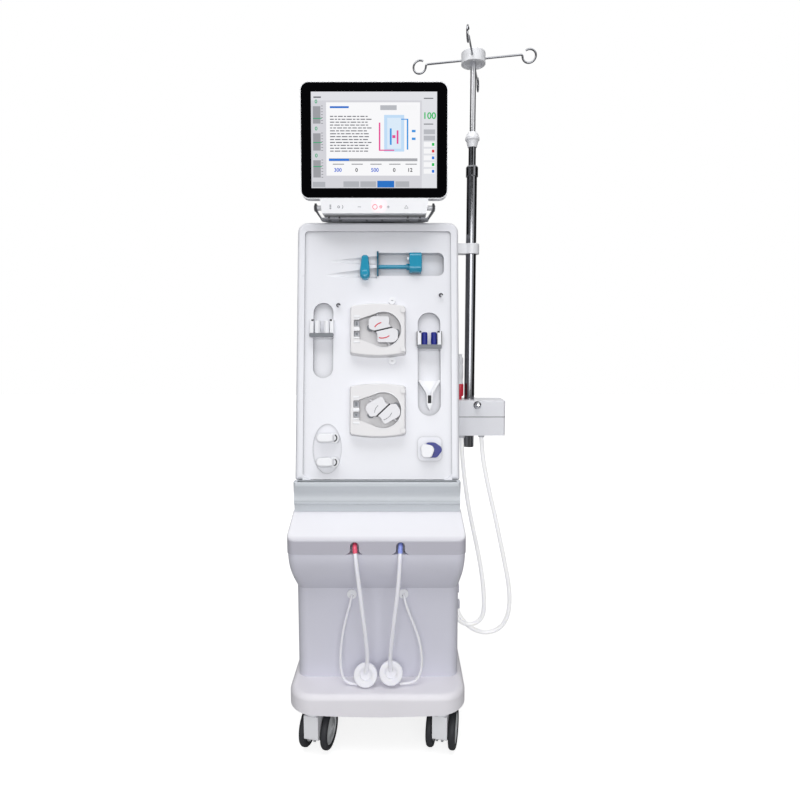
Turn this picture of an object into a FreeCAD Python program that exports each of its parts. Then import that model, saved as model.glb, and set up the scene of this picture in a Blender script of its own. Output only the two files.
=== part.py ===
import FreeCAD, Part
import Sketcher
import math
import os
import re
from FreeCAD import Placement, Rotation, Vector

# Haemodialysis machine on four twin-wheel casters, with a tilting screen and an infusion pole.
# Working frame: X to the right from the cabinet's middle, Y back from the base's middle, Z up
# from the floor, in millimetres. origin_x moves the finished pieces to the whole object's middle.
DIMENSIONS = {
    "origin_x": 95,
    "cabinet_width": 406,
    "cabinet_back": 212,
    "cabinet_front": 158,
    "hood_front": 232,
    "hood_flare": 11,
    "seam_inset": 1.5,
    "hood_corner": 20,
    "shell_wall": 8,
    "cabinet_corner": 26,
    "base_width": 434,
    "base_depth": 480,
    "base_top": 170,
    "base_drop": 58,
    "base_front_corner": 62,
    "base_wall": 5,
    "base_edge": 14,
    "cove_foot": 404,
    "parting": 518,
    "hood_nose": 552,
    "hood_top": 601,
    "tray_top": 677,
    "tray_width": 406,
    "tray_trough": 11,
    "casing_top": 1311,
    "casing_corner": 24,
    "panel_width": 406,
    "panel_height": 648,
    "panel_thick": 32,
    "panel_lean": 9.5,
    "panel_corner": 26,
    "panel_rim": 19,
    "field_depth": 5,
    "slot_depth": 11,
    "left_slot_width": 50,
    "right_slot_width": 57,
    "syringe_recess_depth": 19,
    "groove_axis_proud": 3,
    "plunger_radius": 5,
    "plunger_bore": 5.6,
    "pump_chamber_radius": 44,
    "pump_motor_radius": 30,
    "pump_face": 26,
    "pump_chamber_depth": 22,
    "rotor_core_radius": 15,
    "roller_radius": 8,
    "roller_height": 11,
    "roller_pin_radius": 2.5,
    "jaw_pin_radius": 1.5,
    "shaft_radius": 6,
    "running_gap": 0.06,
    "screen_width": 358,
    "screen_height": 278,
    "screen_corner": 21,
    "glass_thick": 3,
    "bezel_depth": 20,
    "rear_depth": 34,
    "keypad_width": 262,
    "keypad_height": 35,
    "pole_radius": 14,
    "pole_mid_radius": 10,
    "mast_radius": 8,
    "pole_x": 248,
    "pole_y": 57,
    "pole_foot": 722,
    "collar_radius": 16.5,
    "knob_radius": 19,
    "hub_radius": 31.75,
    "hub_height": 30,
    "hub_foot": 1737,
    "hook_reach": 143,
    "hook_ring": 16.8,
    "hook_wire": 2.6,
    "hook_yaw": -12.3,
    "box_width": 140,
    "box_depth": 83,
    "box_height": 97,
    "box_foot": 759,
    "hose_radius": 5,
    "rinse_radius": 3.2,
    "dialysate_radius": 6,
    "cap_radius": 29,
    "wheel_radius": 50,
    "wheel_width": 18.4,
    "axle_radius": 5,
    "stem_radius": 10,
    "caster_x": 156,
    "caster_front": 210,
    "caster_rear": 150,
    "caster_trail": 33,
    "caster_yaw": -12,
    "frame_bar": 22,
}

document = FreeCAD.newDocument("DialysisMachine")
sheet = document.addObject("Spreadsheet::Sheet", "dims")
for row, (alias, value) in enumerate(DIMENSIONS.items(), 1):
    sheet.set("A%d" % row, alias)
    sheet.set("B%d" % row, str(value))
    sheet.setAlias("B%d" % row, alias)
document.recompute()


class Sizes:
    """Reads a driving dimension from the sheet by its alias."""

    def __getattr__(self, alias):
        return float(sheet.get(alias))


size = Sizes()
pieces = []
SHIFT = Placement(Vector(-size.origin_x, 0, 0), Rotation())
PANEL = Placement(Vector(0, -150, size.tray_top), Rotation(Vector(1, 0, 0), -size.panel_lean))
UNDER_PANEL = 0.01


def formula(text):
    """Turns words such as base_width into references to the sheet's cells."""
    return re.sub(r"[a-z]\w+", lambda word: "dims." + word.group(), text)


def amount(text):
    """Works out an alias, or two aliases joined by a plus or minus sign."""
    words = text.split()
    total = getattr(size, words[0])
    if len(words) == 3:
        total += getattr(size, words[2]) * (1 if words[1] == "+" else -1)
    return total


def give(owner, name, value):
    """Sets a property, bound to the sheet where the value is a formula."""
    if isinstance(value, str):
        owner.setExpression(name, formula(value))
    else:
        setattr(owner, name, value)


def keep(piece, label, frame=None):
    """Names a finished piece and moves it from the working frame to the object's own."""
    piece.Label = label
    piece.Placement = SHIFT.multiply(frame) if frame else SHIFT
    pieces.append(piece)
    return piece


# Body and sketch helpers.
def new_body(name):
    return document.addObject("PartDesign::Body", name)


def new_sketch(body, role, offset=0.0):
    sketch = body.newObject("Sketcher::SketchObject", body.Name + "_sketch")
    plane = [feature for feature in body.Origin.OriginFeatures if feature.Role == role][0]
    sketch.AttachmentSupport = [(plane, "")]
    sketch.MapMode = "FlatFace"
    if isinstance(offset, str):
        sketch.setExpression("AttachmentOffset.Base.z", formula(offset))
    else:
        sketch.AttachmentOffset = Placement(Vector(0, 0, offset), Rotation())
    return sketch


def outline(sketch, corners):
    """Draws a closed outline through (x, y) or (x, y, radius) corners."""
    spots = [Vector(corner[0], corner[1], 0) for corner in corners]
    radii = [corner[2] if len(corner) > 2 else 0 for corner in corners]
    ends = []
    for index, spot in enumerate(spots):
        back = (spots[index - 1] - spot).normalize()
        ahead = (spots[(index + 1) % len(spots)] - spot).normalize()
        if not radii[index]:
            ends.append((spot, spot, None))
            continue
        half = back.getAngle(ahead) / 2
        reach = radii[index] / math.tan(half)
        middle = (back + ahead).normalize()
        crown = spot + middle * (radii[index] / math.sin(half) - radii[index])
        ends.append((spot + back * reach, spot + ahead * reach, crown))
    drawn = []
    for index, (start, finish, crown) in enumerate(ends):
        if crown:
            drawn.append(Part.Arc(start, crown, finish))
        following = ends[(index + 1) % len(ends)][0]
        if (following - finish).Length > 1e-6:
            drawn.append(Part.LineSegment(finish, following))
    sketch.addGeometry(drawn, False)
    return sketch


def rectangle(sketch, left, bottom, right, top, radius=0):
    corners = [(left, bottom), (right, bottom), (right, top), (left, top)]
    return outline(sketch, [corner + (radius,) for corner in corners])


def circle(sketch, x, y, radius):
    """Draws a circle; a radius given as an alias stays bound to its cell."""
    length = amount(radius) if isinstance(radius, str) else radius
    index = sketch.addGeometry(Part.Circle(Vector(x, y, 0), Vector(0, 0, 1), length), False)
    rule = sketch.addConstraint(Sketcher.Constraint("Radius", index, length))
    if isinstance(radius, str):
        sketch.setExpression("Constraints[%d]" % rule, formula(radius))
    return sketch


def pad(body, sketch, length, back=False):
    feature = body.newObject("PartDesign::Pad", body.Name + "_pad")
    feature.Profile = sketch
    give(feature, "Length", length)
    feature.Reversed = back
    return feature


def pocket(body, sketch, length, back=False):
    """Cuts a pocket and makes sure that it took something away."""
    document.recompute()
    before = body.Shape.Volume
    feature = body.newObject("PartDesign::Pocket", body.Name + "_pocket")
    feature.Profile = sketch
    give(feature, "Length", length)
    feature.Reversed = back
    document.recompute()
    if body.Shape.Volume > before - 0.1:
        raise ValueError("pocket cut nothing in " + body.Name)
    return feature


def revolve(body, sketch, axis="V_Axis"):
    feature = body.newObject("PartDesign::Revolution", body.Name + "_turn")
    feature.Profile = sketch
    feature.ReferenceAxis = (sketch, [axis])
    feature.Angle = 360
    return feature


def round_edges(body, radius, chosen, kind="Fillet"):
    """Rounds (or bevels) the edges that the chosen function accepts."""
    document.recompute()
    names = ["Edge%d" % number for number, edge in enumerate(body.Shape.Edges, 1) if chosen(edge)]
    feature = body.newObject("PartDesign::" + kind, body.Name + "_soft")
    feature.Base = (body.Tip if body.Tip != feature else body.Tip.BaseFeature, names)
    give(feature, "Radius" if kind == "Fillet" else "Size", radius)
    document.recompute()
    return feature


def level_edge(height, tolerance=0.05):
    """Accepts edges that lie wholly at one height."""
    return lambda edge: all(abs(point.Z - height) < tolerance for point in edge.Vertexes)


def front_edge(depth, tolerance=0.05):
    """Accepts edges that lie wholly at one depth."""
    return lambda edge: all(abs(point.Y - depth) < tolerance for point in edge.Vertexes)


# Helpers for simple solids and their joins.
def box(name, corner, lengths):
    solid = document.addObject("Part::Box", name)
    give(solid, "Length", lengths[0])
    give(solid, "Width", lengths[1])
    give(solid, "Height", lengths[2])
    solid.Placement.Base = Vector(*corner)
    return solid


def cylinder(name, foot, radius, height, axis=(0, 0, 1)):
    solid = document.addObject("Part::Cylinder", name)
    give(solid, "Radius", radius)
    give(solid, "Height", height)
    solid.Placement = Placement(Vector(*foot), Rotation(Vector(0, 0, 1), Vector(*axis)))
    return solid


def fused(name, solids):
    whole = document.addObject("Part::MultiFuse", name)
    whole.Shapes = solids
    return whole


def cut(name, base, tool):
    whole = document.addObject("Part::Cut", name)
    whole.Base = base
    whole.Tool = tool
    return whole


def group(name, solids):
    whole = document.addObject("Part::Compound", name)
    whole.Links = solids
    return whole


# Base: moulded plinth cover with a curved front hem, over the steel chassis.
def base_cover():
    body = new_body("base_cover")
    half = size.base_width / 2
    depth = size.base_depth / 2
    hem = size.base_top - size.base_drop

    def plan(sketch, inset):
        front = size.base_front_corner - inset
        outline(sketch, [(-half + inset, -depth + inset, front), (half - inset, -depth + inset, front),
                         (half - inset, depth - inset, 30 - inset),
                         (-half + inset, depth - inset, 30 - inset)])
        return sketch

    pad(body, plan(new_sketch(body, "XY_Plane", hem), 0), "base_drop")
    round_edges(body, "base_edge", level_edge(size.base_top))
    pocket(body, plan(new_sketch(body, "XY_Plane", hem), size.base_wall), "base_drop - 8", back=True)
    hem_cut = new_sketch(body, "XZ_Plane", depth + 10)
    rise = 15
    centre_drop = 4
    start = Vector(-half - 10, hem + rise, 0)
    crown = Vector(0, hem + centre_drop, 0)
    finish = Vector(half + 10, hem + rise, 0)
    low = Vector(0, -30, 0)
    hem_cut.addGeometry([Part.Arc(start, crown, finish), Part.LineSegment(finish, finish + low),
                         Part.LineSegment(finish + low, start + low),
                         Part.LineSegment(start + low, start)], False)
    pocket(body, hem_cut, "base_depth + 20")
    opening = rectangle(new_sketch(body, "XY_Plane", size.base_top), -185, -142, 185, 200, 12)
    pocket(body, opening, 20)
    keep(body, "base_cover")


def chassis_frame():
    bar = size.frame_bar
    plate_foot = size.base_top - 16
    parts = [box("chassis_plate", (-198, -200, plate_foot), (396, 426, 8)),
             box("chassis_nose", (-178, -228, plate_foot), (356, 30, 8))]
    for index, (x, y) in enumerate([(-180, 0), (158, 0), (-180, 176), (158, 176)]):
        parts.append(box("upright_%d" % index, (x, y, plate_foot), ("frame_bar", "frame_bar", 1080)))
    for index, z in enumerate([560, 1212]):
        parts.append(box("rail_back_%d" % index, (-180, 176, z), (360, "frame_bar", "frame_bar")))
        parts.append(box("rail_left_%d" % index, (-180, 0, z), ("frame_bar", 176 + bar, "frame_bar")))
        parts.append(box("rail_right_%d" % index, (158, 0, z), ("frame_bar", 176 + bar, "frame_bar")))
    bores = []
    for index, (x, y) in enumerate(caster_spots()):
        parts.append(cylinder("socket_%d" % index, (x, y, 119), 17, 40))
        bores.append(cylinder("socket_bore_%d" % index, (x, y, 110), "stem_radius + running_gap", 80))
    keep(cut("chassis_frame", fused("chassis_welded", parts), fused("chassis_bores", bores)),
         "chassis_frame")


def caster_spots():
    return [(x * size.caster_x, y) for y in (-size.caster_front, size.caster_rear) for x in (-1, 1)]


# Casters: a fork body with swivel stem and axle, and twin wheels on the axle.
def casters():
    fork = new_body("caster_fork")
    axle_z = size.wheel_radius
    trail = size.caster_trail
    side = new_sketch(fork, "YZ_Plane", -18)
    outline(side, [(-22, 112), (-22, 52, 6), (0, 40, 8), (45, 38, 10), (66, 58, 12), (66, 106, 10),
                   (34, 112, 8)])
    pad(fork, side, 36)
    pad(fork, circle(new_sketch(fork, "XY_Plane", 111), 0, 0, 21), 6)
    pad(fork, circle(new_sketch(fork, "XY_Plane", 116), 0, 0, "stem_radius"), 42)
    pad(fork, circle(new_sketch(fork, "YZ_Plane", -36), trail, axle_z, "axle_radius"), 72)
    wheel = new_body("caster_wheel")
    inner = 18.6
    outer = inner + size.wheel_width
    rim = size.wheel_radius
    bore = size.axle_radius + size.running_gap
    profile = new_sketch(wheel, "XY_Plane")
    outline(profile, [(inner, bore), (inner, rim, 7), (outer, rim, 8), (outer, rim - 13, 1.5),
                      (outer - 3, rim - 14.5), (outer - 1, 14, 2), (outer - 1, bore)])
    revolve(wheel, profile, "H_Axis")
    document.recompute()
    twin = document.addObject("Part::Mirroring", "caster_wheel_twin")
    twin.Source = wheel
    twin.Normal = Vector(1, 0, 0)
    names = ["front_left", "front_right", "rear_left", "rear_right"]
    for name, (x, y) in zip(names, caster_spots()):
        swivel = Placement(Vector(x, y, 0), Rotation(Vector(0, 0, 1), size.caster_yaw))
        keep(group("fork_" + name, [fork]), "caster_fork_" + name, swivel)
        axle = swivel.multiply(Placement(Vector(0, trail, axle_z), Rotation()))
        keep(group("wheels_" + name, [wheel, twin]), "caster_wheels_" + name, axle)


# Cabinet mouldings.
def cabinet_plan(sketch, flare, front):
    """Plan outline of the cabinet: sides that flare towards a rounded front."""
    half = size.cabinet_width / 2
    wide = half + size.hood_flare * flare
    corner = size.cabinet_corner + (size.hood_corner - size.cabinet_corner) * flare
    return outline(sketch, [(-half, size.cabinet_back), (-half, -110), (-wide, -front, corner),
                            (wide, -front, corner), (half, -110), (half, size.cabinet_back)])


def lower_shell():
    body = new_body("lower_shell")
    foot = cabinet_plan(new_sketch(body, "XY_Plane", size.base_top), 0, size.cabinet_front)
    pad(body, foot, "cove_foot - base_top")
    document.recompute()
    levels = [0, 0.2, 0.4, 0.6, 0.8, 1]
    sections = []
    reach = size.hood_front - size.seam_inset - size.cabinet_front
    narrowed = 1 - size.seam_inset / size.hood_flare
    for level in levels:
        flare = math.sin(math.radians(90 * level))
        height = size.cove_foot + (size.parting - size.cove_foot) * level
        front = size.cabinet_front + reach * flare
        sections.append(cabinet_plan(new_sketch(body, "XY_Plane", height), flare * narrowed, front))
    document.recompute()
    loft = body.newObject("PartDesign::AdditiveLoft", "cove_loft")
    loft.Profile = sections[0]
    loft.Sections = sections[1:]
    document.recompute()
    half = size.cabinet_width / 2 - size.shell_wall
    cavity = rectangle(new_sketch(body, "XY_Plane", size.parting + 1), -half, 8 - size.cabinet_front,
                       half, size.cabinet_back - size.shell_wall, 6)
    pocket(body, cavity, "parting - base_top + 2")
    for y, foot in LOOP_BLOCKS:
        block = rectangle(new_sketch(body, "YZ_Plane", half + 6), y - 9, foot, y + 9, foot + 24, 4)
        pad(body, block, 27)
    keep(body, "lower_shell")


LOOP_BLOCKS = ((62, 246.7), (84, 285))


def ledge_hood():
    body = new_body("ledge_hood")
    front = size.hood_front
    pad(body, cabinet_plan(new_sketch(body, "XY_Plane", size.parting), 1, front), "hood_top - parting")
    reach = size.base_width / 2 + 20
    slope = new_sketch(body, "YZ_Plane", -reach)
    outline(slope, [(-front - 20, size.hood_nose), (-front, size.hood_nose),
                    (-front + 10, size.hood_nose + 7), (-size.cabinet_front, size.hood_top),
                    (-size.cabinet_front, size.hood_top + 20), (-front - 20, size.hood_top + 20)])
    pocket(body, slope, 2 * reach, back=True)
    round_edges(body, 5, lambda edge: all(p.Y < -size.cabinet_front - 10 and p.Z > size.hood_nose - 1
                                          for p in edge.Vertexes) and edge.Length > 12)
    half = size.cabinet_width / 2 - size.shell_wall
    cavity = rectangle(new_sketch(body, "XY_Plane", size.parting - 1), -half, -140,
                       half, size.cabinet_back - size.shell_wall, 6)
    pocket(body, cavity, "hood_top - parting + 2", back=True)
    for x in HOSE_NOTCHES:
        notch = new_sketch(body, "XZ_Plane", front + 5)
        base = size.parting
        outline(notch, [(x - 21, base - 2), (x - 21, base + 0.5), (x - 10.5, base + 5, 9),
                        (x - 10.5, base + 30, 10.4), (x + 10.5, base + 30, 10.4), (x + 10.5, base + 5, 9),
                        (x + 21, base + 0.5), (x + 21, base - 2)])
        pocket(body, notch, 32)
    keep(body, "ledge_hood")


HOSE_NOTCHES = (-51, 57)


def drip_tray():
    body = new_body("drip_tray")
    half = size.tray_width / 2
    top = size.tray_top
    panel_foot = -150.02
    side = new_sketch(body, "YZ_Plane", -half)
    outline(side, [(-177, top, 2), (-177, top - 9, 3), (-163, top - 36, 24), (-169, top - 46, 2),
                   (-169, top - 54, 2), (-163, top - 59, 1), (-161, size.hood_top), (-146, size.hood_top),
                   (-146, top - 8), (panel_foot, top - 8), (panel_foot, top)])
    pad(body, side, "tray_width")
    soft = 9
    for hand in (-1, 1):
        inner, outer = hand * (half - soft), hand * (half + 4)
        corner = new_sketch(body, "XY_Plane", top + 1)
        spots = [Vector(outer, -181, 0), Vector(inner, -181, 0), Vector(inner, -177, 0),
                 Vector(hand * half, soft - 177, 0), Vector(outer, soft - 177, 0)]
        crown = Vector(inner + hand * soft * 0.7071, -177 + soft * 0.2929, 0)
        corner.addGeometry([Part.LineSegment(spots[0], spots[1]), Part.LineSegment(spots[1], spots[2]),
                            Part.Arc(spots[2], crown, spots[3]), Part.LineSegment(spots[3], spots[4]),
                            Part.LineSegment(spots[4], spots[0])], False)
        pocket(body, corner, 80)
    trough = rectangle(new_sketch(body, "XY_Plane", top), 9 - half, -172, half - 9, -153, 4)
    pocket(body, trough, "tray_trough")
    keep(body, "drip_tray")


def casing_profile(sketch, inset):
    """Side outline of the upper casing; inset shrinks it to the cavity, open at the front."""
    lean = math.radians(size.panel_lean)
    back_foot = PANEL.multVec(Vector(0, size.panel_thick + UNDER_PANEL, 0))
    top = size.casing_top - inset
    slope_top = back_foot.y + (top - back_foot.z) * math.tan(lean)
    bottom = size.hood_top - (10 if inset else 0)
    front = -146 - (20 if inset else 0)
    shift = -12 if inset else 0
    return outline(sketch, [(front, bottom), (front, back_foot.z - 6), (back_foot.y + shift, back_foot.z),
                            (slope_top + shift, top), (size.cabinet_back - inset, top),
                            (size.cabinet_back - inset, bottom)])


def upper_casing():
    body = new_body("upper_casing")
    half = size.cabinet_width / 2 - 1
    pad(body, casing_profile(new_sketch(body, "YZ_Plane", -half), 0), 2 * half)
    round_edges(body, "casing_corner", lambda edge: edge.Length > 100 and all(
        abs(abs(p.X) - half) < 0.05 and abs(p.Z - size.casing_top) < 0.05 for p in edge.Vertexes))
    cavity = casing_profile(new_sketch(body, "YZ_Plane", size.shell_wall - half), size.shell_wall)
    pocket(body, cavity, 2 * (half - size.shell_wall), back=True)
    window = rectangle(new_sketch(body, "XZ_Plane", -size.cabinet_back - 2), -150, 700, 150, 1240, 10)
    pocket(body, window, 20, back=True)
    turret = new_sketch(body, "XY_Plane", size.casing_top - 1)
    pad(body, rectangle(turret, MONITOR_X - 40, -10.8, MONITOR_X + 40, 40, 10), 5)
    pad(body, circle(new_sketch(body, "XY_Plane", size.casing_top), MONITOR_X, 0, 8), 16)
    keep(body, "upper_casing")


MONITOR_X = -7


def rear_panel():
    body = new_body("rear_panel")
    back = size.cabinet_back
    pad(body, rectangle(new_sketch(body, "XZ_Plane", -back), -160, 690, 160, 1250, 12), 3, back=True)
    document.recompute()
    for x in (-90, 90):
        first = new_sketch(body, "XZ_Plane", -back - 3)
        rectangle(first, x - 50, 760, x + 50, 765, 2.4)
        slot = pocket(body, first, 6, back=True)
        rows = body.newObject("PartDesign::LinearPattern", "louvres")
        rows.Originals = [slot]
        rows.Direction = (first, ["V_Axis"])
        rows.Length = 126
        rows.Occurrences = 10
        body.Tip = rows
        document.recompute()
    keep(body, "rear_panel")


def rear_ports():
    back = size.cabinet_back
    plate = box("port_plate", (-110, back, 250), (220, 4, 90))
    inlet = box("mains_socket", (-92, back + 2, 268), (52, 18, 48))
    well = box("mains_well", (-86, back + 8, 274), (40, 20, 36))
    nipples = []
    for index, x in enumerate((20, 62)):
        nipples.append(cylinder("nipple_nut_%d" % index, (x, back + 2, 292), 12, 10, (0, 1, 0)))
        nipples.append(cylinder("nipple_%d" % index, (x, back + 2, 292), 7, 32.6, (0, 1, 0)))
    solid = fused("ports_solid", [plate, inlet] + nipples)
    keep(cut("rear_ports", solid, well), "rear_ports")


def hydraulic_unit():
    foot = size.base_top - 8
    parts = [box("hydraulic_block", (-140, -60, foot), (280, 190, 210))]
    parts.append(cylinder("heater_tank", (-85, -40, foot + 205), 42, 150))
    parts.append(cylinder("balance_chamber_left", (10, 60, foot + 205), 38, 90))
    parts.append(cylinder("balance_chamber_right", (95, 60, foot + 205), 38, 90))
    parts.append(cylinder("gear_pump", (60, -110, foot + 60), 26, 60, (0, 1, 0)))
    keep(fused("hydraulic_unit", parts), "hydraulic_unit")


# Front panel, drawn in its own leaning frame: X across, Z up the slope, Y into the machine.
PUMPS = ((14.5, 370, 0), (14.5, 170.7, 30))
LEFT_SLOT = (-136.5, 252, 442)
RIGHT_SLOT = (128.5, 158, 417.5)
RECESS = (-3, 511, 166.5, 570)
LEVERS = ((-107, 102.8), (-107, 43.8))
PLUNGER = (16, 537)
CLAMP_PIVOT = (-32, 514)
LINE_CLAMP = (124, 73)
GROOVES = (((-190, 546), (-2.9, 550), 12), ((-194, 509), (-2.9, 518), 14))


def stadium(sketch, x, low, high, width):
    return rectangle(sketch, x - width / 2, low, x + width / 2, high, width / 2 - 0.01)


def front_panel():
    body = new_body("panel_moulding")
    half = size.panel_width / 2
    rim = size.panel_rim
    high = size.panel_height
    field = -size.field_depth
    rounded = size.panel_corner
    face = new_sketch(body, "XZ_Plane")
    outline(face, [(-half, 0, 4), (half, 0, 4), (half, high, rounded), (-half, high, rounded)])
    pad(body, face, "panel_thick", back=True)
    round_edges(body, 9, lambda edge: all(abs(p.Y) < 0.05 and p.Z > 3 for p in edge.Vertexes))
    well = new_sketch(body, "XZ_Plane", 1)
    outline(well, [(rim - half, -5), (half - rim, -5), (half - rim, high - rim - 5, 9),
                   (rim - half, high - rim - 5, 9)])
    pocket(body, well, "field_depth + 1")
    for x, low, high_end, width in (LEFT_SLOT + ("left_slot_width",), RIGHT_SLOT + ("right_slot_width",)):
        slot = stadium(new_sketch(body, "XZ_Plane", field), x, low, high_end, getattr(size, width))
        pocket(body, slot, "slot_depth")
    recess = new_sketch(body, "XZ_Plane", field)
    left, low, right, top = RECESS
    outline(recess, [(left, low), (right, low, 15), (right, top, 15), (left, top)])
    pocket(body, recess, "syringe_recess_depth")
    depth, height = PLUNGER
    tunnel = circle(new_sketch(body, "YZ_Plane", left + 1), depth, height, "plunger_bore")
    pocket(body, tunnel, 135)
    egg = new_sketch(body, "XZ_Plane", field)
    egg.addGeometry(Part.Ellipse(Vector(-124.5, 138, 0), Vector(-88.5, 76, 0), Vector(-124.5, 76, 0)),
                    False)
    pocket(body, egg, 3)
    for x, z, turn in PUMPS:
        pocket(body, circle(new_sketch(body, "XZ_Plane", field), x, z, "pump_motor_radius"), 40)
    plate = rectangle(new_sketch(body, "XZ_Plane", field - 1), 100, 47, 158, 105, 12)
    pad(body, plate, 5)
    for x, z in LEVERS + (CLAMP_PIVOT, LINE_CLAMP):
        pocket(body, circle(new_sketch(body, "XZ_Plane", 1), x, z, "shaft_radius"), 26)
    grooves = [tapered_groove("groove_%d" % index, *line) for index, line in enumerate(GROOVES)]
    keep(cut("grooved_panel", body, fused("syringe_grooves", grooves)), "front_panel", PANEL)


def tapered_groove(name, tip, end, wide):
    """A cone lying just proud of the field, so that it cuts a rounded groove that fades to its tip."""
    cone = document.addObject("Part::Cone", name)
    proud = size.field_depth - size.groove_axis_proud
    start = Vector(tip[0], proud - 2, tip[1])
    run = Vector(end[0], proud, end[1]) - start
    cone.Radius1 = 0
    cone.Radius2 = wide
    cone.Height = run.Length
    cone.Placement = Placement(start, Rotation(Vector(0, 0, 1), run))
    return cone


def pump_housing_master():
    """Blood pump head: bowed rectangular housing, horseshoe chamber and two tube slots."""
    body = new_body("pump_housing")
    field = -size.field_depth
    left, right, low, high, bow = -83.5, 56, -61, 61, 6.5

    def bowed(sketch, grow):
        a = Vector(left - grow, low - grow, 0)
        b = Vector(right + grow, low - grow, 0)
        c = Vector(right + grow, high + grow, 0)
        d = Vector(left - grow, high + grow, 0)
        under = Vector((left + right) / 2, low - bow - grow, 0)
        over = Vector((left + right) / 2, high + bow + grow, 0)
        sketch.addGeometry([Part.Arc(a, under, b), Part.LineSegment(b, c), Part.Arc(c, over, d),
                            Part.LineSegment(d, a)], False)
        return sketch

    foot = bowed(new_sketch(body, "XZ_Plane", field), 0)
    face = bowed(new_sketch(body, "XZ_Plane", field + size.pump_face), -3)
    document.recompute()
    loft = body.newObject("PartDesign::AdditiveLoft", "pump_loft")
    loft.Profile = foot
    loft.Sections = [face]
    document.recompute()
    front = size.pump_face - size.field_depth
    round_edges(body, 7, lambda edge: abs(edge.Vertexes[0].Y - edge.Vertexes[-1].Y) > 10)
    round_edges(body, 2.5, front_edge(-front))
    chamber = circle(new_sketch(body, "XZ_Plane", front), 0, 0, "pump_chamber_radius")
    pocket(body, chamber, "pump_chamber_depth")
    mouth = outline(new_sketch(body, "XZ_Plane", front), [(-59, -24), (-14, -41), (-14, 41), (-59, 26)])
    pocket(body, mouth, "pump_chamber_depth")
    for low_slot, high_slot in ((6.5, 23.5), (-18, -4.5)):
        pocket(body, rectangle(new_sketch(body, "XZ_Plane", front), -72.5, low_slot, -58, high_slot, 1),
               14)
    motor = circle(new_sketch(body, "XZ_Plane", field), 0, 0, 29.7)
    pad(body, motor, 70, back=True)
    bore = circle(new_sketch(body, "XZ_Plane", front - size.pump_chamber_depth + 1), 0, 0,
                  6 + size.running_gap)
    pocket(body, bore, 30)
    for z in (47, -50):
        pad(body, rectangle(new_sketch(body, "XZ_Plane", front - 4), 44, z - 5, 54, z + 5, 1), 8)
    return body


def rotor_master():
    """Two-lobed rotor: a thick lobed top and a thin lower flange joined by a core."""
    body = new_body("rotor")
    floor = size.pump_face - size.field_depth - size.pump_chamber_depth
    half = [(-19.5, -4.9), (-38, 2, 7), (-39, 34, 15), (-22, 34.5, 12), (15.5, 34, 6), (15, 14, 8)]
    lobes = half + [(-x, -z) + tuple(rest) for x, z, *rest in half]
    lobes = [(x * 0.94, z * 0.94) + tuple(rest) for x, z, *rest in lobes]
    seat = floor + 1
    pad(body, outline(new_sketch(body, "XZ_Plane", seat), lobes), 3)
    pad(body, circle(new_sketch(body, "XZ_Plane", seat + 2), 0, 0, "rotor_core_radius"),
        "roller_height + 4")
    pad(body, outline(new_sketch(body, "XZ_Plane", seat + 4 + size.roller_height), lobes), 8)
    for x, z in ROLLERS:
        pin = circle(new_sketch(body, "XZ_Plane", seat + 2), x, z, "roller_pin_radius")
        pad(body, pin, "roller_height + 4")
    gap = outline(new_sketch(body, "XZ_Plane", seat + 13 + size.roller_height),
                  [(-26, -8), (26, 4.2), (26, 8), (-26, -4.2)])
    document.recompute()
    pocket(body, gap, 6)
    pad(body, circle(new_sketch(body, "XZ_Plane", seat + 1), 0, 0, "shaft_radius"), 24, back=True)
    document.recompute()
    return body


ROLLERS = ((-32.5, 5.7), (32.5, -5.7))


def roller_masters():
    floor = size.pump_face - size.field_depth - size.pump_chamber_depth
    seat = -(floor + 4.5)
    rollers = []
    outward = (0, -1, 0)
    for index, (x, z) in enumerate(ROLLERS):
        drum = cylinder("roller_drum_%d" % index, (x, seat, z), "roller_radius", "roller_height - 1",
                        outward)
        bore = cylinder("roller_bore_%d" % index, (x, seat + 1, z), "roller_pin_radius + running_gap", 30,
                        outward)
        rollers.append(cut("roller_%d" % index, drum, bore))
    return rollers


def guide_pins():
    floor = size.pump_face - size.field_depth - size.pump_chamber_depth
    y = -(floor + 12)
    pins = []
    for index, sign in enumerate((1, -1)):
        pins.append(cylinder("guide_pin_%d" % index, (-9 * sign, y, 13 * sign), 3.2, 27,
                             (-0.22 * sign, 0, 0.97 * sign)))
    return pins


def blood_pumps():
    housing = pump_housing_master()
    rotor = fused("rotor_with_pins", [rotor_master()] + guide_pins())
    rollers = roller_masters()
    for number, (x, z, turn) in enumerate(PUMPS, 1):
        seat = PANEL.multiply(Placement(Vector(x, 0, z), Rotation()))
        turned = PANEL.multiply(Placement(Vector(x, 0, z), Rotation(Vector(0, -1, 0), turn)))
        keep(group("pump_%d_housing" % number, [housing]), "pump_%d_housing" % number, seat)
        keep(group("pump_%d_rotor" % number, [rotor]), "pump_%d_rotor" % number, turned)
        keep(group("pump_%d_rollers" % number, rollers), "pump_%d_rollers" % number, turned)


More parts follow.
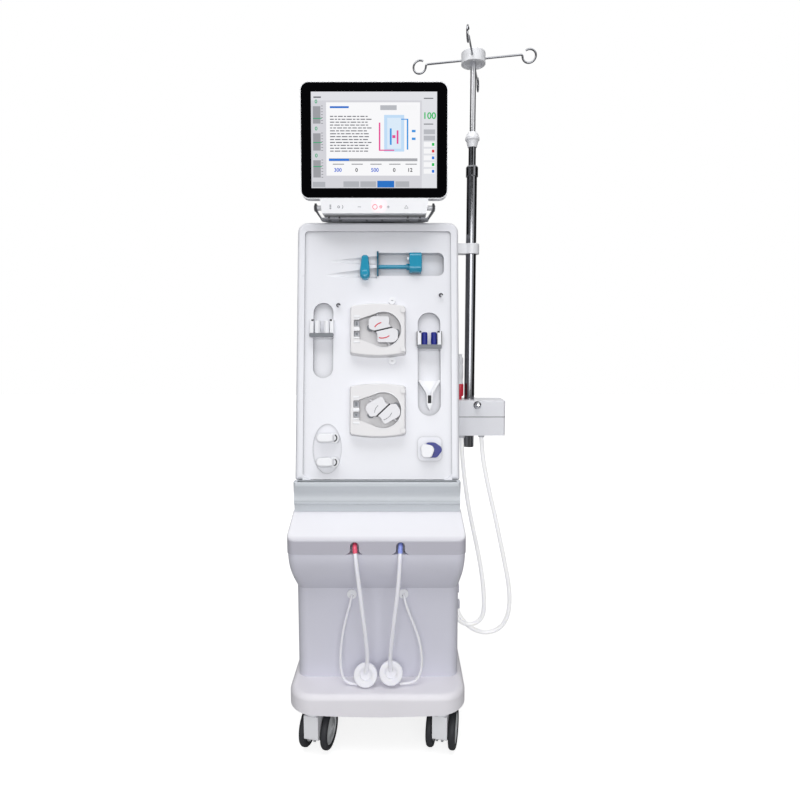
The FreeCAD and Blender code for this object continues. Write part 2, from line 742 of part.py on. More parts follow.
# Syringe pump: flange plate, barrel clamp, and pusher head on its plunger tube.
def syringe_pump():
    depth, height = PLUNGER
    floor = size.field_depth + size.syringe_recess_depth
    plate = new_body("syringe_plate")
    blade = new_sketch(plate, "YZ_Plane", RECESS[0] + 0.5)
    outline(blade, [(floor, 513), (floor, 568, 3), (4.9, 568.5), (4.9, 573, 2), (-3, 573, 4),
                    (-3, 560, 2), (2, 552, 3), (2, 530, 3), (-3, 522, 2), (-3, 509, 4), (4.9, 509, 2),
                    (4.9, 512.5)])
    pad(plate, blade, 4)
    pocket(plate, circle(new_sketch(plate, "YZ_Plane", RECESS[0] - 1), depth, height, "plunger_bore"), 8,
           back=True)
    keep(plate, "syringe_plate", PANEL)
    pusher = new_body("syringe_pusher")
    head = new_sketch(pusher, "YZ_Plane", 79.5)
    outline(head, [(22, 520, 6), (22, 566, 6), (-14, 569.5, 12), (-14, 517, 12)])
    pad(pusher, head, 31)
    round_edges(pusher, 3, lambda edge: all(abs(p.X - 110.5) < 0.05 for p in edge.Vertexes))
    pad(pusher, circle(new_sketch(pusher, "YZ_Plane", 80), depth, height, "plunger_radius"), 138,
        back=True)
    pad(pusher, circle(new_sketch(pusher, "YZ_Plane", 80), depth, height, 8), 8, back=True)
    pad(pusher, circle(new_sketch(pusher, "YZ_Plane", 80), -2, 552, 4.2), 6, back=True)
    keep(pusher, "syringe_pusher", PANEL)
    clamp = new_body("syringe_clamp")
    x, z = CLAMP_PIVOT
    low = new_sketch(clamp, "XZ_Plane", -4.8)
    outline(low, [(x - 12.5, z - 15, 12), (x + 12.5, z - 15, 12), (x + 12, z + 12, 10),
                  (x + 8, z + 46, 7.5), (x - 8, z + 46, 7.5), (x - 12, z + 12, 10)])
    pad(clamp, low, 18.8)
    round_edges(clamp, 5, front_edge(-14))
    pad(clamp, circle(new_sketch(clamp, "XZ_Plane", 0), x, z, "shaft_radius - running_gap"), 24,
        back=True)
    keep(clamp, "syringe_clamp", PANEL)


# Tube clips in the two long slots: posts on a shelf, with a pair of sprung jaws between them.
CLIPS = ((-138.5, 353, "white"), (128.5, 324, "blue"))
JAW_PIN = (15.5, 2)


def tube_clips():
    floor = size.field_depth + size.slot_depth
    frame = new_body("clip_frame")
    field = size.field_depth
    shelf = new_sketch(frame, "XY_Plane")
    outline(shelf, [(-29, -15, 2), (29, -15, 2), (29, field), (22.8, field), (22.8, floor),
                    (-22.8, floor), (-22.8, field), (-29, field)])
    pad(frame, shelf, 8)
    for x in (-JAW_PIN[0], JAW_PIN[0]):
        seat = circle(new_sketch(frame, "XY_Plane", 8), x, JAW_PIN[1], "jaw_pin_radius + running_gap")
        pocket(frame, seat, 4)
    for x in (-29.9, 20.1):
        pad(frame, rectangle(new_sketch(frame, "XY_Plane", 6), x, -13, x + 9.8, 4.8, 2), 37)
    document.recompute()
    frames = []
    for x, z, finish in CLIPS:
        copy = group("clip_copy_" + finish, [frame])
        copy.Placement = Placement(Vector(x, 0, z), Rotation())
        frames.append(copy)
    keep(group("clip_frames", frames), "clip_frames", PANEL)
    jaw = new_body("clip_jaw")
    nose = outline(new_sketch(jaw, "XY_Plane", 8.5), [(17.3, -8, 3), (19.6, 2), (19.6, 4.5, 2),
                                                      (13, 6, 5), (5, 2, 4), (4.4, -6, 4), (11, -11, 6)])
    pad(jaw, nose, 33)
    round_edges(jaw, 2.2, level_edge(41.5))
    pad(jaw, circle(new_sketch(jaw, "XY_Plane", 4.6), *JAW_PIN, "jaw_pin_radius"), 5)
    mirrored = document.addObject("Part::Mirroring", "clip_jaw_twin")
    mirrored.Source = jaw
    mirrored.Normal = Vector(1, 0, 0)
    for x, z, finish in CLIPS:
        seat = PANEL.multiply(Placement(Vector(x, 0, z), Rotation()))
        keep(group("jaw_left_" + finish, [mirrored]), finish + "_jaw_left", seat)
        keep(group("jaw_right_" + finish, [jaw]), finish + "_jaw_right", seat)


def chamber_funnel():
    floor = -(size.field_depth + size.slot_depth)
    x = RIGHT_SLOT[0]
    body = new_body("chamber_funnel")
    vee = new_sketch(body, "XZ_Plane", floor)
    outline(vee, [(x - 28, 245, 2), (x + 28, 245, 2), (x + 7.5, 212, 6), (x + 6.5, 186, 3),
                  (x + 0.5, 172, 1), (x - 0.5, 172, 1), (x - 6.5, 186, 3), (x - 7.5, 212, 6)])
    pad(body, vee, 30)
    throat = outline(new_sketch(body, "XZ_Plane", floor + 30),
                     [(x - 22, 247), (x + 22, 247), (x + 4.5, 217, 4), (x + 4.5, 188), (x - 4.5, 188),
                      (x - 4.5, 217, 4)])
    pocket(body, throat, 20)
    keep(body, "chamber_funnel", PANEL)


def port_levers():
    for name, (x, z) in zip(("upper", "lower"), LEVERS):
        body = new_body("port_lever_" + name)
        ring = circle(new_sketch(body, "XZ_Plane", -4.5), x, z, 13)
        pad(body, ring, 13)
        arm = new_sketch(body, "XZ_Plane", -1)
        outline(arm, [(x - 43, z - 11, 10.9), (x - 12, z - 11.5, 4), (x, z - 9), (x, z + 9),
                      (x - 12, z + 11.5, 4), (x - 43, z + 11, 10.9)])
        pad(body, arm, 19)
        round_edges(body, 5, front_edge(-18))
        shaft = circle(new_sketch(body, "XZ_Plane", -4), x, z, "shaft_radius - running_gap")
        pad(body, shaft, 17, back=True)
        keep(body, "port_lever_" + name, PANEL)


def line_clamp():
    x, z = LINE_CLAMP
    lever = new_body("line_clamp_lever")
    knob = outline(new_sketch(lever, "XZ_Plane", 13), [(x - 20, z + 18, 11), (x + 19, z + 10, 12),
                                                       (x + 8, z - 18, 9), (x - 15, z - 18, 9)])
    pad(lever, knob, 9)
    round_edges(lever, 2.5, front_edge(-22))
    pad(lever, circle(new_sketch(lever, "XZ_Plane", 14), x, z, "shaft_radius - running_gap"), 30,
        back=True)
    keep(lever, "line_clamp_lever", PANEL)
    jaw = new_body("line_clamp_jaw")
    wedge = outline(new_sketch(jaw, "XZ_Plane", 0.5), [(x - 4, z + 19, 6), (x + 17, z + 19, 13),
                                                       (x + 39, z + 4, 11), (x + 22, z - 18, 11),
                                                       (x - 4, z - 18, 6)])
    pad(jaw, wedge, 11)
    pocket(jaw, rectangle(new_sketch(jaw, "XZ_Plane", 12), x - 8, z - 8, x + 13, z + 8, 7.9), 14)
    keep(jaw, "line_clamp_jaw", PANEL)


def panel_hooks():
    hooks = []
    for index, (x, z) in enumerate(((-98, 437), (158, 462.5))):
        peg = cylinder("peg_%d" % index, (x, size.field_depth, z), 1.6, 12, (0, -1, 0))
        ring = document.addObject("Part::Torus", "hook_ring_%d" % index)
        ring.Radius1 = 4
        ring.Radius2 = 1.5
        ring.Angle3 = 280
        ring.Placement = Placement(Vector(x, -6, z - 3.6), Rotation(Vector(1, 0, 0), 90))
        hooks.append(fused("panel_hook_%d" % index, [peg, ring]))
    keep(group("panel_hooks", hooks), "panel_hooks", PANEL)


def port_discs():
    """Round press-in discs: two beside the upper pump and two hose ports on the lower shell."""
    discs = []
    for index, (x, z) in enumerate(PANEL_DISCS):
        disc = cylinder("tube_disc_%d" % index, (x, size.field_depth, z), 8.8, 11, (0, -1, 0))
        disc.Placement = PANEL.multiply(disc.Placement)
        discs.append(disc)
    for index, (x, z) in enumerate(WALL_PORTS):
        flange = cylinder("wall_port_%d" % index, (x, -size.cabinet_front, z), 12, 6, (0, -1, 0))
        discs.append(flange)
    keep(group("port_discs", discs), "port_discs")


PANEL_DISCS = ((36, 445.2), (36.5, 293.5))
WALL_PORTS = ((-64, 390), (64.5, 391))


# Screen: glass and tapered shell, keypad bar below, on a yoke that swivels on the casing.
SCREEN = Placement(Vector(MONITOR_X, -87, 1500), Rotation(Vector(1, 0, 0), -3))
TILT = (-70, 1344)


def monitor():
    wide = size.screen_width / 2
    tall = size.screen_height / 2
    glass = new_body("screen_glass")
    pad(glass, rectangle(new_sketch(glass, "XZ_Plane"), 2 - wide, 2 - tall, wide - 2, tall - 2,
                         size.screen_corner - 2), "glass_thick", back=True)
    round_edges(glass, 0.8, front_edge(0))
    keep(glass, "screen_glass", SCREEN)
    shell = new_body("monitor_shell")
    pad(shell, rectangle(new_sketch(shell, "XZ_Plane", -1), -wide, -tall, wide, tall, size.screen_corner),
        "bezel_depth", back=True)
    document.recompute()
    pocket(shell, rectangle(new_sketch(shell, "XZ_Plane", 0), 2 - wide, 2 - tall, wide - 2, tall - 2,
                            size.screen_corner - 2), "glass_thick")
    back_foot = rectangle(new_sketch(shell, "XZ_Plane", -size.bezel_depth - 1), 6 - wide, 3 - tall,
                          wide - 6, tall - 6, 18)
    back_face = rectangle(new_sketch(shell, "XZ_Plane", -size.bezel_depth - size.rear_depth), 44 - wide,
                          26 - tall, wide - 44, tall - 44, 18)
    document.recompute()
    loft = shell.newObject("PartDesign::AdditiveLoft", "monitor_back")
    loft.Profile = back_foot
    loft.Sections = [back_face]
    document.recompute()
    keep(shell, "monitor_shell", SCREEN)
    bar = new_body("keypad_bar")
    half = size.keypad_width / 2
    top = 1360
    front = new_sketch(bar, "XZ_Plane", 101)
    outline(front, [(MONITOR_X - half + 4, top - size.keypad_height, 3),
                    (MONITOR_X + half - 4, top - size.keypad_height, 3), (MONITOR_X + half, top - 8),
                    (MONITOR_X + half, top), (MONITOR_X - half, top), (MONITOR_X - half, top - 8)])
    pad(bar, front, 55, back=True)
    for side in (-1, 1):
        lug = circle(new_sketch(bar, "YZ_Plane", MONITOR_X + side * (half - 2)), TILT[0], TILT[1], 6)
        pad(bar, lug, 21, back=side < 0)
    keep(bar, "keypad_bar")
    yoke = new_body("monitor_yoke")
    plate = new_sketch(yoke, "XY_Plane", 1316.1)
    left = MONITOR_X - 134
    right = MONITOR_X + 134
    outline(plate, [(left, -80, 6), (right, -80, 6), (right, -44, 10), (MONITOR_X + 48, 40, 40),
                    (MONITOR_X - 48, 40, 40), (left, -44, 10)])
    pad(yoke, plate, 3)
    document.recompute()
    pocket(yoke, circle(new_sketch(yoke, "XY_Plane", 1325), MONITOR_X, 0, 8 + size.running_gap), 20)
    for side in (-1, 1):
        inner = MONITOR_X + side * 128
        reach = MONITOR_X + side * (half + 16)
        arm = new_sketch(yoke, "XZ_Plane", 80)
        outline(arm, [(inner, 1317), (inner + side * 5, 1317), (reach, 1336, 4), (reach, 1353, 2),
                      (reach - side * 5, 1353, 2), (reach - side * 5, 1338, 4)])
        pad(yoke, arm, 28, back=True)
    document.recompute()
    pocket(yoke, circle(new_sketch(yoke, "YZ_Plane", MONITOR_X + 160), TILT[0], TILT[1],
                        6 + size.running_gap), 320)
    keep(yoke, "monitor_yoke")


# Infusion pole: lower tube with collar and mid tube, clamp knob, mast, hub and four hooks.
def pole():
    x, y = size.pole_x, size.pole_y
    here = Placement(Vector(x, y, 0), Rotation())
    tube = new_body("pole_tube")
    mid = size.pole_mid_radius
    bore = size.mast_radius + size.running_gap
    profile = new_sketch(tube, "XZ_Plane")
    outline(profile, [(bore, size.pole_foot), (size.pole_radius, size.pole_foot),
                      (size.pole_radius, 1452), (size.collar_radius, 1452.5, 1),
                      (size.collar_radius, 1476, 1), (size.pole_radius, 1480), (mid, 1480), (mid, 1531),
                      (bore, 1531)])
    revolve(tube, profile)
    keep(tube, "pole_tube", here)
    knob = new_body("pole_knob")
    profile = new_sketch(knob, "XZ_Plane")
    wide = size.knob_radius
    gap = mid + size.running_gap
    outline(profile, [(gap, 1528), (12, 1528), (wide - 3, 1544, 5), (wide, 1547), (wide, 1552),
                      (wide - 4, 1562, 5), (10.5, 1567), (bore, 1567), (bore, 1531.5), (gap, 1531.5)])
    revolve(knob, profile)
    keep(knob, "pole_knob", here)
    mast = cylinder("mast", (0, 0, 1200), "mast_radius", 548)
    keep(group("mast_group", [mast]), "pole_mast", here)
    hub = new_body("hook_hub")
    profile = new_sketch(hub, "XZ_Plane")
    wide = size.hub_radius
    foot = size.hub_foot
    fit = size.mast_radius + size.running_gap
    outline(profile, [(fit, foot + 6), (wide - 8, foot + 6), (wide - 5, foot), (wide, foot + 0.5, 0.4),
                      (wide, foot + size.hub_height, 3), (0, foot + size.hub_height), (0, foot + 11.5),
                      (fit, foot + 11.5)])
    revolve(hub, profile)
    keep(hub, "hook_hub", here)
    keep(part_feature("bag_hooks", hook_shapes()), "bag_hooks", here)
    bracket = new_body("pole_bracket")
    arm = rectangle(new_sketch(bracket, "XY_Plane", 1250), size.cabinet_width / 2 - 1 - x, -17, 2, 17, 0)
    pad(bracket, arm, 27)
    pad(bracket, circle(new_sketch(bracket, "XY_Plane", 1250), 0, 0, 22), 27)
    document.recompute()
    pocket(bracket, circle(new_sketch(bracket, "XY_Plane", 1240), 0, 0, "pole_radius"), 60, back=True)
    round_edges(bracket, 2, level_edge(1277))
    keep(bracket, "pole_bracket", here)


def part_feature(name, shape):
    feature = document.addObject("Part::Feature", name)
    feature.Shape = shape
    return feature


def hook_shapes():
    """Four wire hooks: a radial arm that drops into an open ring."""
    height = 1745
    ring = size.hook_ring
    reach = size.hook_reach
    bend = 5
    arm_z = height + bend
    start = Vector(size.hub_radius - 0.0, 0, arm_z)
    bend_start = Vector(reach - ring - bend, 0, arm_z)
    bend_mid = bend_start + Vector(bend * math.sin(math.pi / 4), 0, bend * (math.cos(math.pi / 4) - 1))

    def on_ring(angle):
        turn = math.radians(angle)
        return Vector(reach + ring * math.cos(turn), 0, height + ring * math.sin(turn))

    path = Part.Wire([Part.LineSegment(start, bend_start).toShape(),
                      Part.Arc(bend_start, bend_mid, on_ring(180)).toShape(),
                      Part.Arc(on_ring(180), on_ring(255), on_ring(330)).toShape(),
                      Part.Arc(on_ring(330), on_ring(45), on_ring(122)).toShape()])
    wire = Part.Wire(Part.makeCircle(size.hook_wire, start, Vector(1, 0, 0)))
    hook = path.makePipeShell([wire], True, True)
    hooks = []
    for quarter in range(4):
        turned = hook.copy()
        turned.rotate(Vector(0, 0, 0), Vector(0, 0, 1), size.hook_yaw + 90 * quarter)
        hooks.append(turned)
    return Part.makeCompound(hooks)


# Side box on the pole, with its lid groove, knob and the connector clipped above it.
def side_box():
    body = new_body("side_box")
    left = size.cabinet_width / 2
    front, foot = 17, size.box_foot
    right = left + size.box_width
    back = front + size.box_depth
    pad(body, rectangle(new_sketch(body, "XY_Plane", foot), left, front, right, back, 0), "box_height")
    round_edges(body, 7, lambda edge: abs(edge.Vertexes[0].Z - edge.Vertexes[-1].Z) > 10
                and edge.Vertexes[0].X > right - 1)
    round_edges(body, 3, lambda edge: edge.Vertexes[0].Z > foot + size.box_height - 0.1
                and edge.Vertexes[-1].Z > foot + size.box_height - 0.1)
    groove = rectangle(new_sketch(body, "XZ_Plane", -front), left - 1, 809.6, right + 1, 811.4, 0)
    pocket(body, groove, 2)
    document.recompute()
    pocket(body, circle(new_sketch(body, "XY_Plane", foot - 5), size.pole_x, size.pole_y, "pole_radius"),
           120, back=True)
    pocket(body, circle(new_sketch(body, "XZ_Plane", -front), 266, 843, 5.06), 20)
    for x, y in HOSE_GLANDS:
        pad(body, circle(new_sketch(body, "XY_Plane", foot), x, y, 8.5), 8, back=True)
    keep(body, "side_box")
    knob = new_body("side_knob")
    profile = new_sketch(knob, "XZ_Plane")
    profile_points = [(0, -16), (5, -16), (5, 3), (4, 4), (9, 8, 3), (9.2, 14, 4), (5, 19, 3), (0, 19.5)]
    outline(profile, profile_points)
    revolve(knob, profile)
    keep(knob, "side_knob", Placement(Vector(266, front, 843),
                                      Rotation(Vector(0, 0, 1), Vector(0, -1, 0))))


HOSE_GLANDS = ((226, 34), (282, 46))


def couplings():
    """Dialysis coupling clipped to the cabinet side: white connector above a red sleeve."""
    x, y = 217, 45
    left = size.cabinet_width / 2 - 1
    clip = box("coupling_clip", (left, y - 9, 912), (14, 18, 34))
    barrel = cylinder("coupling_barrel", (x + 3, y, 899), 9, 72)
    neck = cylinder("coupling_neck", (x + 3, y, 965), 6, 16)
    connector = fused("coupling_connector", [clip, barrel, neck])
    sleeve = cylinder("coupling_sleeve", (x + 3, y, 864), 10.5, 35)
    tail = cylinder("coupling_tail", (x + 3, y, size.box_foot + size.box_height), 6, 12)
    keep(group("side_coupling", [connector, fused("coupling_red_end", [sleeve, tail])]), "side_coupling")


# Hoses: straight runs joined by tangent arcs.
def hose_path(points):
    """Wire through the route, each corner an arc as large as its runs allow."""
    edges = []
    radii = []
    start = points[0]
    for before, corner, after in zip(points, points[1:], points[2:]):
        into = Vector(corner - before)
        out = Vector(after - corner)
        turn = into.getAngle(out)
        reach = 0.45 * min(into.Length, out.Length)
        radius = reach / math.tan(turn / 2)
        into.normalize()
        out.normalize()
        first = corner - into * reach
        last = corner + out * reach
        inward = Vector(out - into).normalize()
        crown = corner + inward * (radius / math.cos(turn / 2) - radius)
        edges.append(Part.LineSegment(start, first).toShape())
        edges.append(Part.Arc(first, crown, last).toShape())
        radii.append(radius)
        start = last
    edges.append(Part.LineSegment(start, points[-1]).toShape())
    return Part.Wire(edges), radii


def hose(label, route, radius):
    points = [Vector(*spot) for spot in route]
    path, radii = hose_path(points)
    section = Part.Wire(Part.makeCircle(radius, points[0], points[1] - points[0]))
    solid = path.makePipeShell([section], True, True)
    expected = math.pi * radius ** 2 * path.Length
    print("%s length %.0f, radii %s, volume ratio %.4f" % (
        label, path.Length, [round(value) for value in radii], solid.Volume / expected))
    keep(part_feature(label, solid), label)


RED_HOSE = ((-51, -205, 540), (-51, -221, 539), (-50, -234, 531), (-48, -240, 515), (-45.5, -242, 490),
            (-41, -241, 452), (-36, -237, 402), (-30.5, -231, 350), (-26, -220, 300), (-23.5, -209, 256),
            (-25, -200, 222), (-28.5, -197, 203))
BLUE_HOSE = ((57, -205, 540), (57, -221, 539), (56.5, -234, 531), (55.5, -240, 515), (54.5, -242, 490),
             (52, -241, 448), (47, -237, 400), (41, -231, 350), (36, -220, 302), (32.5, -209, 258),
             (31.5, -200, 226), (33, -197, 208))
LEFT_RINSE = ((-64, -164, 390), (-65.5, -172, 382), (-69, -176, 367), (-76, -179, 342), (-83.5, -182,
                                                                                         312), (-88.5,
                                                                                                -185,
                                                                                                280),
              (-91.5, -188, 246), (-91, -191, 214), (-85, -195, 189), (-71, -199, 177), (-50, -200, 176))
RIGHT_RINSE = ((64.5, -164, 391), (66.5, -172, 383), (71, -176, 368), (80, -179, 343), (92, -182, 315),
               (102.5, -185, 285), (109, -188, 252), (110, -191, 220), (103, -195, 192), (86, -199, 177),
               (55, -200, 177))
INNER_LOOP = ((226, 34, 751), (227, 34, 722), (230, 35, 682), (236, 37, 632), (245, 40, 572), (257, 43,
                                                                                               512), (271,
                                                                                                      46,
                                                                                                      450),
              (284, 50, 388), (291.5, 53, 342), (296, 56, 305), (298.5, 58.5, 275), (298.8, 60.3, 249),
              (297, 61.5, 225.3), (286.3, 62, 206.7), (267.7, 62, 196), (246.3, 62, 196), (227.7, 62,
                                                                                           206.7), (217,
                                                                                                    62,
                                                                                                    225.3),
              (217, 62, 246.7))
OUTER_LOOP = ((282, 46, 751), (284, 46.5, 722), (289, 48, 682), (299, 50, 632), (313, 53, 572), (328, 57,
                                                                                                 512),
              (342, 61, 450), (356, 66, 388), (369, 71, 328), (377, 76, 270), (374, 80, 214), (352, 83,
                                                                                               172), (312,
                                                                                                      84,
                                                                                                      157),
              (274, 84, 167), (243, 84, 192), (224, 84, 226), (217, 84, 262), (217, 84, 285))


def hoses():
    hose("red_hose", RED_HOSE, size.hose_radius)
    hose("blue_hose", BLUE_HOSE, size.hose_radius)
    hose("left_rinse_hose", LEFT_RINSE, size.rinse_radius)
    hose("right_rinse_hose", RIGHT_RINSE, size.rinse_radius)
    hose("inner_dialysate_hose", INNER_LOOP, size.dialysate_radius)
    hose("outer_dialysate_hose", OUTER_LOOP, size.dialysate_radius)


def hose_caps():
    """White disc on the end of each front hose, with a clear body behind it."""
    for label, x, z in (("left_cap", -29, 199), ("right_cap", 33.5, 204)):
        body = new_body(label)
        profile = new_sketch(body, "XZ_Plane")
        wide = size.cap_radius
        outline(profile, [(0, 0), (13, 0), (13.5, 6), (18, 8, 2), (wide, 8, 3), (wide, -2, 3), (20, -4),
                          (15, -24, 3), (8, -27), (0, -27)])
        revolve(body, profile)
        keep(body, label, Placement(Vector(x, -197, z),
                                    Rotation(Vector(0, 0, 1), Vector(0, -0.94, 0.34))))


base_cover()
chassis_frame()
casters()
lower_shell()
ledge_hood()
drip_tray()
upper_casing()
rear_panel()
rear_ports()
hydraulic_unit()
front_panel()
blood_pumps()
syringe_pump()
tube_clips()
chamber_funnel()
port_levers()
line_clamp()
panel_hooks()
port_discs()
monitor()
pole()
side_box()
couplings()
hoses()
hose_caps()
document.recompute()

failed = [item.Name for item in document.Objects if {"Invalid", "Error"} & set(item.State)]
failed += [piece.Label for piece in pieces if piece.Shape.isNull() or not piece.Shape.isValid()]
if failed:
    raise ValueError("failed features or shapes: %s" % failed)
os.makedirs("parts", exist_ok=True)
for piece in pieces:
    piece.Shape.exportStep("parts/%s.step" % piece.Label)
print(len(pieces), "pieces")
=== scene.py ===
# %% [markdown]
# This lesson dresses a haemodialysis machine. The solid model comes from the frame, so every piece here is
# either a better skin for one of its parts or a small detail that sits on one. We load the frame first.
# Nothing that we add may grow past it.

# %% Load the frame
import math
import random

import bpy
from mathutils import Matrix, Vector


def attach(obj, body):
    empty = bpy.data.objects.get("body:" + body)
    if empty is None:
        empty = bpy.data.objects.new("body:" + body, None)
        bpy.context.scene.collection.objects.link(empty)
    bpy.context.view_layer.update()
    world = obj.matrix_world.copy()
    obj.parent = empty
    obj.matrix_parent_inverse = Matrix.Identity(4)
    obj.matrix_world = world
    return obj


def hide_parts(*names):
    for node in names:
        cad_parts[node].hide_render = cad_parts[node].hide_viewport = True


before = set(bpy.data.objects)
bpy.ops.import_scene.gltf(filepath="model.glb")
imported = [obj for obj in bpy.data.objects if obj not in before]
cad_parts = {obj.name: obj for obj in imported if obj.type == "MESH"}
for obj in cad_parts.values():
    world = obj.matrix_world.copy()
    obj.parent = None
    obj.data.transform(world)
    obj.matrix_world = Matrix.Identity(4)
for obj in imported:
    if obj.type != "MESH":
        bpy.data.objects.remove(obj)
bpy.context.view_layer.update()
scene = bpy.context.scene
random.seed(7)
print("nodes:", len(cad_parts))

# %% [markdown]
# The drawing office measured the machine from the middle of the cabinet, while the frame's origin is the
# middle of the whole object, pole included. One number, the shift between the two, lets us keep the
# drawing's own positions. The front panel and the screen lean back, so each gets a matrix of its own:
# inside it x runs across, z runs up the slope and y goes into the machine.

# %% Places on the machine
ORIGIN_X = 0.095
CABINET = Matrix.Translation((-ORIGIN_X, 0, 0))
PANEL = CABINET @ Matrix.Translation((0, -0.150, 0.677)) @ Matrix.Rotation(math.radians(-9.5), 4, "X")
SCREEN = CABINET @ Matrix.Translation((-0.007, -0.087, 1.500)) @ Matrix.Rotation(math.radians(-3), 4, "X")
FIELD = 0.005
print("panel foot:", PANEL.translation[:])

# %% [markdown]
# The camera stands at chest height, a metre and a half in front of the cabinet, and looks six degrees
# down. A 26 mm lens on a full frame gives the wide view of the photograph, in which the casters are seen
# from above and the bag hooks from below.

# %% Camera
camera_data = bpy.data.cameras.new("camera")
camera_data.lens = 26.01
camera_data.sensor_width = 36
camera = bpy.data.objects.new("camera", camera_data)
camera.location = (0.0557 - ORIGIN_X, -1.543, 1.021)
camera.rotation_euler = (math.radians(84), 0, 0)
scene.collection.objects.link(camera)
scene.camera = camera
scene.view_settings.view_transform = "Standard"
print("camera at", camera.location[:])

# %% [markdown]
# Paint, moulded plastic, chrome and rubber are all the Principled shader with different numbers. A single
# flat colour looks like a computer picture, so a slow noise moves the colour and the roughness a little,
# and a fine noise gives the faint orange peel of a sprayed or moulded surface. The noise reads object
# coordinates in metres, so its grain keeps a real size. Where a finish asks for corner shade, an occlusion
# node paints shade into the colour: it darkens in the piece's own corners and grooves, within five
# centimetres.

# %% Finishes
SLOW_GRAIN = 9
ROUGHNESS_DRIFT = 0.05
CORNER_SHADE_REACH = 0.05
PEEL_HEIGHT = 0.0004


def linear(red, green, blue):
    """Turns a colour given in screen values, 0 to 255, into the light values that a shader takes."""
    parts = [value / 255 for value in (red, green, blue)]
    return tuple(v / 12.92 if v <= 0.04045 else ((v + 0.055) / 1.055) ** 2.4 for v in parts) + (1,)


def add_node(tree, kind, **values):
    """Adds a shader node and sets inputs by name, with underscores for the spaces."""
    made = tree.nodes.new("ShaderNode" + kind)
    for key, value in values.items():
        made.inputs[key.replace("_", " ")].default_value = value
    return made


def ramp(tree, source, start, end, low, high):
    """Turns a value that runs from start to end into one that runs from low to high."""
    made = add_node(tree, "MapRange", From_Min=start, From_Max=end, To_Min=low, To_Max=high)
    tree.links.new(source, made.inputs["Value"])
    return made.outputs["Result"]


def combine(tree, operation, first, second):
    """Puts two values through one step of arithmetic."""
    made = add_node(tree, "Math")
    made.operation = operation
    tree.links.new(first, made.inputs[0])
    tree.links.new(second, made.inputs[1])
    return made.outputs["Value"]


def blend_colours(tree, factor, first, second):
    mix = add_node(tree, "Mix")
    mix.data_type = "RGBA"
    mix.inputs["A"].default_value = first
    mix.inputs["B"].default_value = second
    tree.links.new(factor, mix.inputs["Factor"])
    return mix.outputs["Result"]


def shader_of(material):
    return material.node_tree.nodes["Principled BSDF"]


def new_material(name, **values):
    """A Principled material whose shader inputs are set by name, with underscores for the spaces."""
    material = bpy.data.materials.new(name)
    material.use_nodes = True
    for key, value in values.items():
        shader_of(material).inputs[key.replace("_", " ")].default_value = value
    return material


def finish(name, colour, roughness, bump=0.04, grain=900, drift=0.03, metallic=0.0, coat=0.0, painted_corner_shade=0.0):
    material = new_material(name, Metallic=metallic, Coat_Weight=coat, Coat_Roughness=0.12)
    tree, shader = material.node_tree, shader_of(material)
    place = add_node(tree, "TexCoord")
    slow = add_node(tree, "TexNoise", Scale=SLOW_GRAIN, Detail=3)
    tree.links.new(place.outputs["Object"], slow.inputs["Vector"])
    lower = tuple(c * (1 - drift) for c in colour[:3]) + (1,)
    upper = tuple(min(1, c * (1 + drift)) for c in colour[:3]) + (1,)
    tint = blend_colours(tree, slow.outputs["Fac"], lower, upper)
    # Painted shade: the colour darkens where the piece's own corners and grooves would be in shade.
    if painted_corner_shade:
        corners = add_node(tree, "AmbientOcclusion", Distance=CORNER_SHADE_REACH)
        corners.samples = 6
        corners.only_local = True
        darker = add_node(tree, "VectorMath")
        darker.operation = "SCALE"
        tree.links.new(tint, darker.inputs[0])
        tree.links.new(ramp(tree, corners.outputs["AO"], 0, 1, 1 - painted_corner_shade, 1), darker.inputs["Scale"])
        tint = darker.outputs["Vector"]
    tree.links.new(tint, shader.inputs["Base Color"])
    rough = ramp(tree, slow.outputs["Fac"], 0, 1, max(0.02, roughness - ROUGHNESS_DRIFT),
                 roughness + ROUGHNESS_DRIFT)
    tree.links.new(rough, shader.inputs["Roughness"])
    if bump:
        fine = add_node(tree, "TexNoise", Scale=grain, Detail=2)
        tree.links.new(place.outputs["Object"], fine.inputs["Vector"])
        lift = add_node(tree, "Bump", Strength=bump, Distance=PEEL_HEIGHT)
        tree.links.new(fine.outputs["Fac"], lift.inputs["Height"])
        tree.links.new(lift.outputs["Normal"], shader.inputs["Normal"])
    return material


# Several finishes below have shade painted into their own corners and recesses.
panel_paint = finish("panel_paint", linear(233, 234, 240), 0.38, coat=0.15, painted_corner_shade=0.65)
shell_paint = finish("shell_paint", linear(214, 214, 226), 0.42, coat=0.1, painted_corner_shade=0.5)
hood_paint = finish("hood_paint", linear(231, 232, 240), 0.42, coat=0.1)
base_paint = finish("base_paint", linear(238, 236, 242), 0.45, painted_corner_shade=0.4)
tray_paint = finish("tray_paint", linear(208, 213, 219), 0.4, painted_corner_shade=0.75)
white_plastic = finish("white_plastic", linear(238, 239, 243), 0.34, bump=0.03)
warm_plastic = finish("warm_plastic", linear(228, 227, 229), 0.4, bump=0.03, painted_corner_shade=0.25)
rotor_plastic = finish("rotor_plastic", linear(226, 226, 230), 0.34, bump=0.03, painted_corner_shade=0.3)
yoke_metal = finish("yoke_metal", linear(112, 114, 120), 0.32, metallic=0.5)
grey_plastic = finish("grey_plastic", linear(120, 124, 130), 0.45)
pale_grey = finish("pale_grey", linear(176, 178, 184), 0.45)
dark_plastic = finish("dark_plastic", linear(32, 33, 38), 0.5)
teal_plastic = finish("teal_plastic", linear(26, 144, 178), 0.26, coat=0.3)
deep_teal = finish("deep_teal", linear(20, 92, 118), 0.35)
blue_plastic = finish("blue_plastic", linear(6, 26, 128), 0.42, coat=0.05)
red_plastic = finish("red_plastic", linear(206, 34, 60), 0.35)
black_glass = finish("black_glass", linear(6, 6, 8), 0.07, bump=0, drift=0)
